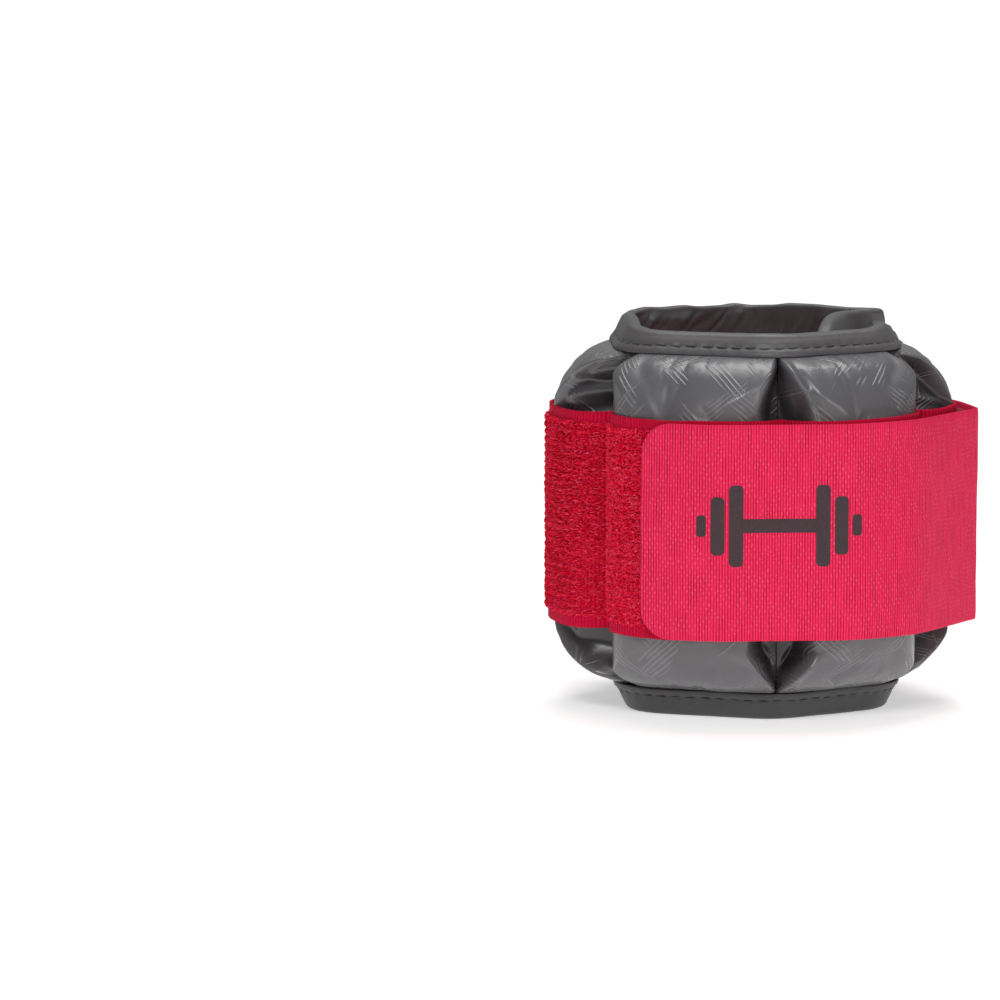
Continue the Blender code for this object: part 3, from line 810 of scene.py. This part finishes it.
SIM_UNIT = 0.1  # how long a millimetre is in the simulation
SIM_FRAMES = 28
SIM_SHARE, SIM_MOST = 0.42, 1.3  # how much of the cloth's movement is used, and the most of it in mm
GROWTH = 0.035  # how much larger the cloth is cut than the space between its seams
CLOTH = {
    "quality": 6,
    "mass": 0.25,
    "air_damping": 2.0,
    "tension_stiffness": 30.0,
    "compression_stiffness": 30.0,
    "shear_stiffness": 12.0,
    "bending_stiffness": 0.05,
    "tension_damping": 8.0,
    "compression_damping": 8.0,
    "shear_damping": 8.0,
    "bending_damping": 0.6,
    "vertex_group_mass": "pin",
    "shrink_min": -GROWTH,
    "use_pressure": True,
    "uniform_pressure_force": 0.5,
}
TOUCH = {"use_collision": True, "distance_min": 0.012, "collision_quality": 2, "use_self_collision": False}
HOLDER = {"thickness_outer": 0.012, "thickness_inner": 0.05, "cloth_friction": 2.0, "use_culling": False}


def set_all(settings, values):
    for key, value in values.items():
        setattr(settings, key, value)


def sim_object(name, pts, faces):
    return new_object(name, (pts - np.array([0, 0, MID_Z])) * SIM_UNIT / MM, faces, SHELL)


def holding_band():
    """What holds the cloth back: the loop tape round the middle."""
    s = np.linspace(0, wall.length, 500)
    k, u = pouch_u(s)
    dz = np.array([-24.6, -24.0, 0.0, 24.0, 24.6])
    lift = np.array([0.9, 0.0, 0.0, 0.0, 0.9])
    n = (FOOT + BULGE[k] * f_across(u) + 0.35)[:, None] + lift
    band = sim_object("sim_band", wall.place(s[:, None], n, dz + MID_Z), grid_faces(len(s), len(dz)))
    band.modifiers.new("Collision", "COLLISION")
    set_all(band.collision, HOLDER)
    return band


def simulate_covers():
    """Inflates the covers, each held along its seams and under its binding, and held in by the loop tape."""
    verts, faces, pins, start = [], [], [], 0
    for k, letter in enumerate(NAMES):
        pts = covers[letter][0]
        rows, cols = pts.shape[:2]
        edge = np.ones((rows, cols), bool)
        edge[1:-1, 1:-1] = False
        verts.append((pts + 0.15 * noise(pts, 5.0, 50 + k)[..., None] * ~edge[..., None]).reshape(-1, 3))
        pins.append(edge.reshape(-1))
        faces.append(grid_faces(rows, cols, start=start))
        start += rows * cols
    verts, faces, pins = (np.concatenate(v) for v in (verts, faces, pins))
    obj = sim_object("sim_covers", verts, faces[:, ::-1])
    obj.vertex_groups.new(name="pin").add(np.nonzero(pins)[0].tolist(), 1.0, "REPLACE")
    band = holding_band()
    cloth = obj.modifiers.new("Cloth", "CLOTH")
    set_all(cloth.settings, CLOTH)
    cloth.settings.effector_weights.gravity = 0.0
    set_all(cloth.collision_settings, TOUCH)
    cloth.point_cache.frame_start, cloth.point_cache.frame_end = 1, SIM_FRAMES
    scene = bpy.context.scene
    for f in range(1, SIM_FRAMES + 1):
        scene.frame_set(f)
    inflated = obj.evaluated_get(bpy.context.evaluated_depsgraph_get()).data
    co = np.empty(len(inflated.vertices) * 3, np.float32)
    inflated.vertices.foreach_get("co", co)
    co = co.reshape(-1, 3).astype(float) / SIM_UNIT + np.array([0, 0, MID_Z])
    scene.frame_set(1)
    start = 0
    for k, letter in enumerate(NAMES):
        rest, sunk = covers[letter]
        count = rest.shape[0] * rest.shape[1]
        shift = co[start : start + count].reshape(rest.shape) - rest
        start += count
        far = np.linalg.norm(shift, axis=-1)
        share = SIM_SHARE * (1 - drawn_share(k, *plans[letter]))
        share = share * np.minimum(1, SIM_MOST / np.maximum(far, 1e-6))
        covers[letter] = (rest + shift * share[..., None], sunk)
    for used in (obj, band):
        mesh = used.data
        bpy.data.objects.remove(used)
        bpy.data.meshes.remove(mesh)


simulate_covers()

for k, letter in enumerate(NAMES):
    (s, dz), (pts, sunk) = plans[letter], covers[letter]
    rows, cols = sunk.shape
    # laid flat, and moved along so that the weave differs from pouch to pouch
    uv = points(run_along(pts[:, cols // 2])[:, None] + 61.0 * k, run_along(pts[rows // 2]))
    out = wall.place(s, 1.0, 0.0) - wall.place(s, 0.0, 0.0)
    folds = cover_folds(k, s, dz)
    gusset, drawn_in = gussets(k, s, dz)
    height = ((pts - wall.place(s, lean(dz + MID_Z), dz + MID_Z)) * out).sum(-1)
    # no deeper than the lining behind it
    pts = pts + out * np.maximum(folds - drawn_in, FOOT - height)[..., None]
    # painted shade for the 'deep' attribute: in the sunk valleys beside the seams and the drawn-in gussets,
    # more in the folds' hollows and less on their ridges
    shade = np.maximum(sunk, 0.70 * gusset) - 0.25 * np.maximum(folds, 0)
    shade = shade + 0.22 * np.maximum(-folds - 0.3, 0)
    deep = {"deep": np.clip(shade, 0, 1)}
    obj = new_object(f"cover_{letter}", pts, grid_faces(rows, cols)[:, ::-1], SHELL, uv=uv, values=deep)
    smoother = obj.modifiers.new("Smooth", "SUBSURF")
    smoother.levels = smoother.render_levels = 1
    thick = obj.modifiers.new("Thickness", "SOLIDIFY")
    thick.thickness, thick.offset = 0.6 * MM, -1.0
    on_pouch(obj, letter)
    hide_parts(f"shell_{letter}", f"sand_bag_{letter}")


# ---------------------------------------------------------------- lining
for name, s0, s1, stands in SEGMENTS:
    from_s = s0 + (2.2 if name == "ab" else 0)
    to_s = s1 - (TAB_TURN + 0.4 if name == "ef" else 0)
    s = np.linspace(from_s, to_s, int((s1 - s0) / 0.6))[:, None]
    dz = np.linspace(-40.8, 40.8, 88)
    _, u = pouch_u(s)
    body = f_across(u) * np.maximum(0, 1 - (np.abs(dz) / 34.5) ** 3) ** 0.5
    groove = np.exp(-((np.minimum(np.abs(1 - np.abs(u)), 1) * 18.0 / 0.9) ** 2))
    q = points(s, dz, 0)
    n = -0.75 - 3.0 * body - 0.25 * noise(q, 7.0, 60) * body - 0.12 * noise(q, 2.5, 61) + 0.5 * groove
    n = n + lean(dz + MID_Z)
    rings = both_faces(wall.place(s, n + 0.7, dz + MID_Z), wall.place(s, n, dz + MID_Z))
    rows, cols = rings.shape[:2]
    j = np.arange(cols // 2 - 1)
    end = np.stack([j, j + 1, cols - 2 - j, cols - 1 - j], -1)  # a strip across its thickness
    faces = np.concatenate([grid_faces(rows, cols, closed=True), end, end + (rows - 1) * cols])
    obj = turned_out(new_object(f"inner_lining_{name}", rings, faces, LINING))
    on_segment(obj, name)
    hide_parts(*[f"lining_{k}" for k in stands])

# ---------------------------------------------------------------- loop tape and its pile
TAPE, TAPE_WIDE = 0.7, 50.0
PILE_ROWS, PILE_PITCH = 26, 1.74
PILE_HALF = 22.5  # half the height that the pile covers
STRAND = 6  # points along one loop of thread


def loop_height(s):
    """How far the loop tape's inner face stands off the seam line: over the bulges, down into the valleys."""
    k, u = pouch_u(s)
    floor, soften = 4.2, 1.6
    h = FOOT + 0.55 + BULGE[k] * f_across(np.clip(u, -1, 1))
    return floor + np.logaddexp(0, (h - floor) * soften) / soften


def loop_pile(name, lo, hi):
    """Small flat loops of thread standing out of the tape in rough rows."""
    count = int((hi - lo) * 2 * PILE_HALF * (12.0))
    s = RNG.uniform(lo, hi, count)
    z = (RNG.integers(0, PILE_ROWS, count) - 12.5) * PILE_PITCH + RNG.normal(0, 0.56, count)
    kept = np.abs(z) < PILE_HALF
    s, z = s[kept, None], z[kept, None]
    count = len(s)
    in_row = 0.16 * np.cos(2 * math.pi * (z / PILE_PITCH + 0.5))
    tall = 0.50 + 0.34 * RNG.random((count, 1)) + in_row + 0.16 * noise(points(s, z, 0), 3.0, 73)
    width = 0.17 + 0.15 * RNG.random((count, 1))
    ang = RNG.uniform(0, 2 * math.pi, (count, 1))
    tip = RNG.normal(0, 0.16, (count, 2))
    half = 0.060 + 0.035 * RNG.random((count, 1))
    t = np.linspace(0, math.pi, STRAND)
    ds = np.cos(ang) * width * np.cos(t) + tip[:, :1] * np.sin(t)
    dz = np.sin(ang) * width * np.cos(t) + tip[:, 1:] * np.sin(t)
    n = loop_height(s) + TAPE + 0.15 + np.maximum(tall, 0.35) * np.sin(t)
    across, up = np.sin(ang) * half, np.cos(ang) * half
    sides = [wall.place(s + ds - e * across, n, MID_Z + z + dz + e * up) for e in (-1, 1)]
    faces = grid_faces(STRAND, 2)[None] + (np.arange(count) * 2 * STRAND)[:, None, None]
    # each loop's tone differs at random, and about seven loops in a hundred are much lighter: painted glints
    # on the pile
    tone = np.clip(0.10 + 0.30 * RNG.random(count) + 0.8 * (RNG.random(count) > 0.93), 0, 1)
    values = {"tone": np.repeat(tone, 2 * STRAND)}
    return new_object(name, np.stack(sides, 2), faces.reshape(-1, 4), FUZZ, values=values)


for name, s0, s1, stands in SEGMENTS:
    s = np.linspace(max(s0, 3.4), min(s1, wall.length - 0.5), int((s1 - s0) / 0.4))
    v = np.linspace(-1, 1, 63)
    S, dz = np.meshgrid(s, TAPE_WIDE / 2 * v, indexing="ij")
    q = points(S, dz, 0)
    n = loop_height(S) + 0.12 * noise(q, 4.0, 70) + 0.22 * noise(q, 12.0, 71)
    n = n + 0.25 * smooth(np.abs(dz), 22.6, 22.2)
    z = dz + 0.22 * noise(points(S, 0, 0), 7.0, 72) * np.abs(v) ** 3 + MID_Z
    outer = wall.place(S, n + TAPE, z)
    weave = both_faces(points(S, dz), points(S, dz))
    tape = bar(f"loop_tape_{name}", both_faces(outer, wall.place(S, n, z)), LOOP, uv=weave)
    on_segment(tape, name)
    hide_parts(*[f"loop_{k}" for k in stands])
    pile = loop_pile(f"loop_pile_{name}", s[0] + 0.4, s[-1])
    on_segment(pile, name)


# ---------------------------------------------------------------- end binding and tuck-in tab
def upright_binding(name, origin, inward, outward, z0, z1):
    """A folded tape standing upright: origin is its outer edge in plan, inward points into the panel."""
    across, down = (BIND_PROFILE * [1.0, 0.66]).T
    z = np.linspace(z0, z1, int((z1 - z0) / 0.6))[:, None]
    q = points(z, across * 3, down)
    n = across * 0.95 + 0.08 * noise(q, 4.0, 81)
    a = down + 0.10 * noise(q, 7.0, 82)
    xy = origin + inward * a[..., None] + outward * n[..., None]
    return bar(name, points(xy[..., 0], xy[..., 1], z), BINDING)


obj = upright_binding("tape_end_a", wall.xy[0], -free_dir, wall.n[2], 7.0, 83.0)
on_pouch(obj, "a")
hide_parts("binding_end_a")

# the tab's line in plan, from where it leaves the last pouch to its end inside the cuff
TAB = [(32.6, 22.4), (27.0, 17.0), (24.4, 11.0), (23.4, 4.0), (21.7, -3.5), (18.9, -11.0), (15.0, -18.5)]
leaves_at, leaves_out = wall.at(np.array(wall.length - TAB_TURN))
tab = Path([leaves_at, *(OFF + np.array(TAB))], soften=2.0)
END_LONG, END_TALL = 20.0, 11.0  # the tab's round end, along it and up it
STRAIGHT = tab.length - END_LONG
SHOULDER = HALF_HIGH - END_TALL


def on_tab(s, n, z):
    """Places points on the tab, whose rims lean in with the pouches where it starts and away further on."""
    pts = tab.place(s, n, z)
    kept = (1 - smooth(s, 10.0, 28.0))[..., None]
    pts[..., :2] += (leaves_out * kept + tab.at(s)[1] * (1 - kept)) * lean(z)[..., None]
    return pts


def tab_half(s):
    """Half the tab's height at s: full, then round at its end."""
    return SHOULDER + END_TALL * np.sqrt(1 - np.clip((s - STRAIGHT) / END_LONG, 0, 1) ** 2)


def tab_outline():
    """The tab's bound edge over the top, round the end and back: distance along it and from mid height."""
    t = np.linspace(0, math.pi / 2, 40)[1:]
    top = points(np.linspace(0.0, STRAIGHT, 80), HALF_HIGH)
    turn = points(STRAIGHT + END_LONG * np.sin(t), SHOULDER + END_TALL * np.cos(t))
    end = points(tab.length, np.linspace(SHOULDER, -SHOULDER, 72)[1:-1])
    return np.concatenate([top, turn, end, turn[::-1] * [1, -1], top[::-1] * [1, -1]])


def tab_face(name, low, high, mat, stands):
    """One face of the tab between two heights over its line: the piece, and what it measures laid flat."""
    near_end = tab.length - 8 + 7.0 * np.sin(np.linspace(0, math.pi / 2, 16))[1:]
    s = np.concatenate([np.linspace(TAB_TURN + 1.5, tab.length - 8, 40), near_end])
    half = tab_half(s + 1.0) - 1.4
    dz = half[:, None] * np.linspace(-1, 1, 61)
    S = s[:, None] + 0 * dz
    q = points(S, dz, 0)
    bend = 0.35 * noise(q, 14.0, 90) + 0.10 * noise(q, 4.0, 91)
    rings = both_faces(on_tab(S, bend + high, dz + MID_Z), on_tab(S, bend + low, dz + MID_Z))
    weave = points(S - 90.0, dz)
    obj = bar(name, rings, mat, uv=both_faces(weave, weave))
    on_pouch(obj, "f")
    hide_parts(stands)
    area = ((half[1:] + half[:-1]) * np.diff(s)).sum() * MM**2
    return obj, {"flat": (2 * half[0] * MM, (s[-1] - s[0]) * MM), "area": area}


tab_outer, outer_flat = tab_face("tab_outer_face", 0.0, 0.75, SHELL, "tab_cover")
tab_inner, inner_flat = tab_face("tab_inner_face", -0.8, -0.05, LINING, "tab_lining")

line = tab_outline()
run = run_along(line)
t = np.linspace(0, run[-1], int(run[-1] / 0.45))
line = between(t, run, line)
inwards = -normals(line)
n, down = (BIND_PROFILE * np.where(BIND_PROFILE[:, :1] < 0, [[1.0, 0.70]], 1.0)).T
q = points(t[:, None], n * 3, down)
s, dz = (line[:, i, None] + inwards[:, i, None] * down for i in (0, 1))
n = n + 0.10 * noise(q, 5.0, 95) + 0.05 * noise(q, 2.0, 96)
rings = on_tab(np.clip(s, 0, tab.length), n, np.maximum(dz + MID_Z, FLOOR_GAP))
obj = bar("tab_edge_tape", rings, BINDING, caps=(False, False))
on_pouch(obj, "f")
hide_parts("tab_binding_upper", "tab_binding_lower", "tab_binding_end")

count = int(run[-1] / STITCH)
mids = (np.arange(count) + 0.5) * run[-1] / count
row = line + inwards * 4.9
for label, n in (("outer", 1.5), ("inner", -1.62)):
    ends = [between(mids + e, t, row) for e in (-1.2, 1.2)]
    starts, stops = (on_tab(np.clip(p[:, 0], 0, tab.length), n, p[:, 1] + MID_Z) for p in ends)
    on_pouch(capsules(f"tab_stitches_{label}", starts, stops, 0.25, THREAD), "f")

# ---------------------------------------------------------------- strap
# its line in plan: from its seam on pouch f over the junction to the crease, then over the front pouches
SPAN = [(22.4, 44.49), (24.92, 43.12), (27.08, 41.71), (28.93, 40.23), (30.48, 38.69), (31.75, 37.09)]
SPAN += [(32.71, 35.43), (45.92, 5.02), (46.46, 3.34), (46.83, 1.49), (48.82, -8.57)]
TAIL = [(35.68, -30.66), (34.55, -32.39), (33.13, -34.1), (31.41, -35.8), (29.34, -37.5), (26.49, -39.5)]
TAIL += [(23.54, -41.34), (21.16, -42.58), (18.93, -43.5), (16.8, -44.14), (14.77, -44.5), (2.62, -45.71)]
TAIL += [(-7.14, -46.67), (-9.38, -46.7), (-11.8, -46.48), (-14.4, -45.99), (-17.26, -45.21)]
TAIL += [(-20.87, -43.95), (-24.42, -42.51), (-27.68, -40.85)]
run = run_along(np.array(SPAN + TAIL))
CREASE_S = run[len(SPAN) - 1]
VALLEY_S = run[len(SPAN) + 11]  # over the seam of pouches b and c
JOIN_S = (CREASE_S + VALLEY_S) / 2 - 6.0
strap = Path(SPAN + TAIL, soften=0.45)
softer = Path(SPAN + TAIL, soften=1.6)
away = smooth(np.abs(strap.s - CREASE_S), 3.0, 8.0)[:, None]  # it is folded sharply only at the crease
strap.redraw(strap.xy * (1 - away) + between(strap.s, softer.s, softer.xy) * away)
END_S = strap.length
STRAP_HALF, TIP_R = 24.5, 7.0  # half its width, and the radius of its tip's corners
HOOK_IN = 1.4  # how far the hook tape's edges stay inside the woven face's
FACE_LOW, FACE_HIGH, HOOK_LOW, HOOK_HIGH = 0.80, 1.55, 0.10, 0.76  # heights over the strap's line


def ripple(s, dz):
    q = points(s, dz, 0)
    pulled_in = 0.35 * smooth(np.abs(s - VALLEY_S), 16.0, 4.0)
    return 0.30 * noise(q, 16.0, 100) + 0.08 * noise(q, 5.0, 101) - pulled_in


def on_strap(s, n, dz):
    """Places points on the strap, which hangs a touch lower at the crease than at its stuck end."""
    drop = 0.15 * smooth(s, CREASE_S - 30.0, CREASE_S) * smooth(-s, -END_S, -CREASE_S)
    return strap.place(s, n + ripple(s, dz), dz + MID_Z - drop)


def bend_at_valley(obj):
    bend_over(obj, strap, VALLEY_S, 4.0)


def strap_strip(name, s0, s1, hook, tip, stands):
    """A strip of the woven face or of the hook tape from s0 to s1; at the tip its far corners are round."""
    if hook:
        low, high, mat, slot, inset = HOOK_LOW, HOOK_HIGH, HOOK, "hook_red", HOOK_IN
    else:
        low, high, mat, slot, inset = FACE_LOW, FACE_HIGH, WEB, "web_red", 0.0
    full, radius, s1 = STRAP_HALF - inset, TIP_R - inset, s1 - (inset if tip else 0.0)
    step = 0.5
    if tip:
        s = np.linspace(s0, s1 - radius, int((s1 - s0 - radius) / step))
        s = np.concatenate([s, s1 - radius + radius * np.sin(np.linspace(0, math.pi / 2, 26))[1:]])
        to_go = radius - np.clip(s1 - s, 0, radius)
        half = full - radius + np.sqrt(np.maximum(0, radius**2 - to_go**2))
    else:
        s = np.linspace(s0, s1, int((s1 - s0) / step))
        half = np.full(len(s), full)
    v = np.linspace(-1, 1, 65)
    v = np.sign(v) * (1 - (1 - np.abs(v)) ** 1.15)
    dz = half[:, None] * v
    S = s[:, None] + 0 * dz
    soft = 0.18 * np.abs(v) ** 24
    outer, inner = on_strap(S, high - soft, dz), on_strap(S, low + soft, dz)
    middle, edge = (low + high) / 2, np.array([0, 0, 0.12])
    upper = on_strap(S[:, -1:], middle, dz[:, -1:]) + edge
    lower = on_strap(S[:, :1], middle, dz[:, :1]) - edge
    weave = points(S, dz)
    rings = np.concatenate([outer, upper, inner[:, ::-1], lower], 1)
    uv = np.concatenate([weave, weave[:, -1:], weave[:, ::-1], weave[:, :1]], 1)
    obj = bar(name, rings, mat, uv=uv)
    if tip:
        bend_at_valley(obj)
    else:
        bend_over(obj, strap, CREASE_S, 2.2)
    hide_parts(*stands)


strap_strip("strap_face_rear", 0.0, JOIN_S, False, False, ["strap_span", "strap_web"])
strap_strip("strap_hook_rear", 3.0, JOIN_S, True, False, ["strap_hook"])
strap_strip("strap_face_front", JOIN_S, END_S, False, True, ["strap_tip_web"])
strap_strip("strap_hook_front", JOIN_S, END_S, True, True, ["strap_tip_hook"])


def box_stitches(s0, s1, half, pitch=3.0):
    """The stitched box that holds the strap's end on pouch f."""
    corners = np.array([(s0, -half), (s0, half), (s1, half), (s1, -half), (s0, -half)], float)
    starts, ends = [], []
    for a, b in zip(corners, corners[1:]):
        count = max(1, round(np.linalg.norm(b - a) / pitch))
        for k in range(count):
            starts.append(a + (b - a) * (k + 0.12) / count)
            ends.append(a + (b - a) * (k + 0.88) / count)
    a, b = (on_strap(p[:, 0], FACE_HIGH + 0.02, p[:, 1]) for p in (np.array(starts), np.array(ends)))
    return capsules("strap_box_stitches", a, b, 0.22, THREAD)


on_pouch(box_stitches(1.6, 9.5, 23.0), "f")


# ---------------------------------------------------------------- plain dumbbell print
PRINT_SCALE, PRINT_UP = 1.06, 1.7
front_s = strap.s[strap.s > CREASE_S]
PRINT_S = np.interp(-2.8, -strap.xy[strap.s > CREASE_S][:, 0], front_s)  # its middle


def rounded_box(cx, wide, high, r):
    """A rectangle with round corners, its middle at cx."""
    out = []
    for sx, sy, start in ((1, 1, 0), (-1, 1, 90), (-1, -1, 180), (1, -1, 270)):
        for t in np.linspace(0, 90, 6):
            a = math.radians(start + t)
            x, y = sx * (wide / 2 - r) + r * math.cos(a), sy * (high / 2 - r) + r * math.sin(a)
            out.append((cx + x, y))
    return out


def print_piece(name, shapes):
    """Flat printed shapes laid on the strap's face; x runs to the viewer's right."""
    bm = bmesh.new()
    for shape in shapes:
        bm.faces.new([bm.verts.new((x, y, 0)) for x, y in shape])
    bmesh.ops.triangulate(bm, faces=bm.faces)
    for _ in range(3):
        bmesh.ops.subdivide_edges(bm, edges=[e for e in bm.edges if e.calc_length() > 1.2], cuts=1)
        bmesh.ops.triangulate(bm, faces=bm.faces)
    bm.verts.index_update()
    x, y = np.array([v.co[:2] for v in bm.verts]).T
    triangles = np.array([[v.index for v in f.verts] for f in bm.faces])
    bm.free()
    s, dz = PRINT_S - x * PRINT_SCALE, y * PRINT_SCALE + PRINT_UP
    return new_object(name, on_strap(s, FACE_HIGH + 0.05, dz), triangles, PRINT, uv=points(s, dz))


shapes = [rounded_box(0, 17, 3.0, 0.6)]
for side in (-1, 1):
    for x, wide, high, r in ((9.3, 3.0, 17.5, 1.0), (13.1, 2.8, 12.5, 1.0), (16.4, 2.0, 4.6, 0.7)):
        shapes.append(rounded_box(side * x, wide, high, r))
obj = print_piece("strap_print", shapes)
bend_at_valley(obj)


# ---------------------------------------------------------------- floor, light, camera
def floor_material():
    m = Nodes("floor_white")
    white = (1, 1, 1, 1)
    return m.done((0.93, 0.93, 0.93), 0.9, Emission_Color=white, Emission_Strength=0.44)


FLOOR_R, FLOOR_SIDES = 480.0, 96
turn = np.linspace(0, 2 * math.pi, FLOOR_SIDES, endpoint=False)
disc = points(np.cos(turn) * FLOOR_R, np.sin(turn) * FLOOR_R, -FLOOR_GAP)
new_object("floor", disc, np.arange(FLOOR_SIDES)[None], floor_material(), smooth_shade=False)


def aimed(name, data, location, target):
    """A light or a camera that looks at a point."""
    obj = bpy.data.objects.new(name, data)
    bpy.context.scene.collection.objects.link(obj)
    obj.location = location
    obj.rotation_euler = (Vector(target) - Vector(location)).to_track_quat("-Z", "Y").to_euler()
    return obj


for name, location, size, power in (
    ("key", (-0.16, -1.00, 0.80), (0.35, 0.35), 5.0),
    ("fill", (0.62, -0.95, 0.40), (0.4, 0.5), 2.4),
    ("top", (0.05, 0.25, 0.95), (0.6, 0.6), 5.0),
):
    light = bpy.data.lights.new(name, "AREA")
    light.shape = "RECTANGLE"
    light.size, light.size_y = size
    light.energy = power
    aimed(name, light, location, (0, 0, MID_Z * MM))


def studio_world():
    """White where the camera sees it; what lights the object is dimmer, and darker at its sides."""
    world = bpy.data.worlds.new("studio")
    world.use_nodes = True
    tree = world.node_tree
    back = tree.nodes["Background"]
    back.inputs[0].default_value = (1, 1, 1, 1)
    seen = tree.nodes.new("ShaderNodeLightPath")
    place = tree.nodes.new("ShaderNodeTexCoord")
    split = tree.nodes.new("ShaderNodeSeparateXYZ")
    side = tree.nodes.new("ShaderNodeMath")
    side.operation = "MULTIPLY"
    dim = tree.nodes.new("ShaderNodeMapRange")
    dim.inputs["To Min"].default_value = 0.32
    dim.inputs["To Max"].default_value = 0.07
    level = tree.nodes.new("ShaderNodeMix")
    level.inputs[3].default_value = 1.05
    for a, b in (
        (place.outputs["Generated"], split.inputs[0]),
        (split.outputs["X"], side.inputs[0]),
        (split.outputs["X"], side.inputs[1]),
        (side.outputs[0], dim.inputs["Value"]),
        (seen.outputs["Is Camera Ray"], level.inputs[0]),
        (dim.outputs[0], level.inputs[2]),
        (level.outputs[0], back.inputs[1]),
    ):
        tree.links.new(a, b)
    return world


bpy.context.scene.world = studio_world()
bpy.context.scene.view_settings.view_transform = "Standard"

lens = bpy.data.cameras.new("camera")
lens.lens, lens.sensor_width, lens.clip_end = 232.0, 36.0, 50.0
look_at = Vector((-0.0602, 0.0, 0.04695))
DOWN, AWAY = math.radians(6.8), 1.5  # how far down the camera looks, and how far away it stands
stand = look_at + Vector((0, -math.cos(DOWN), math.sin(DOWN))) * AWAY
bpy.context.scene.camera = aimed("camera", lens, stand, look_at)
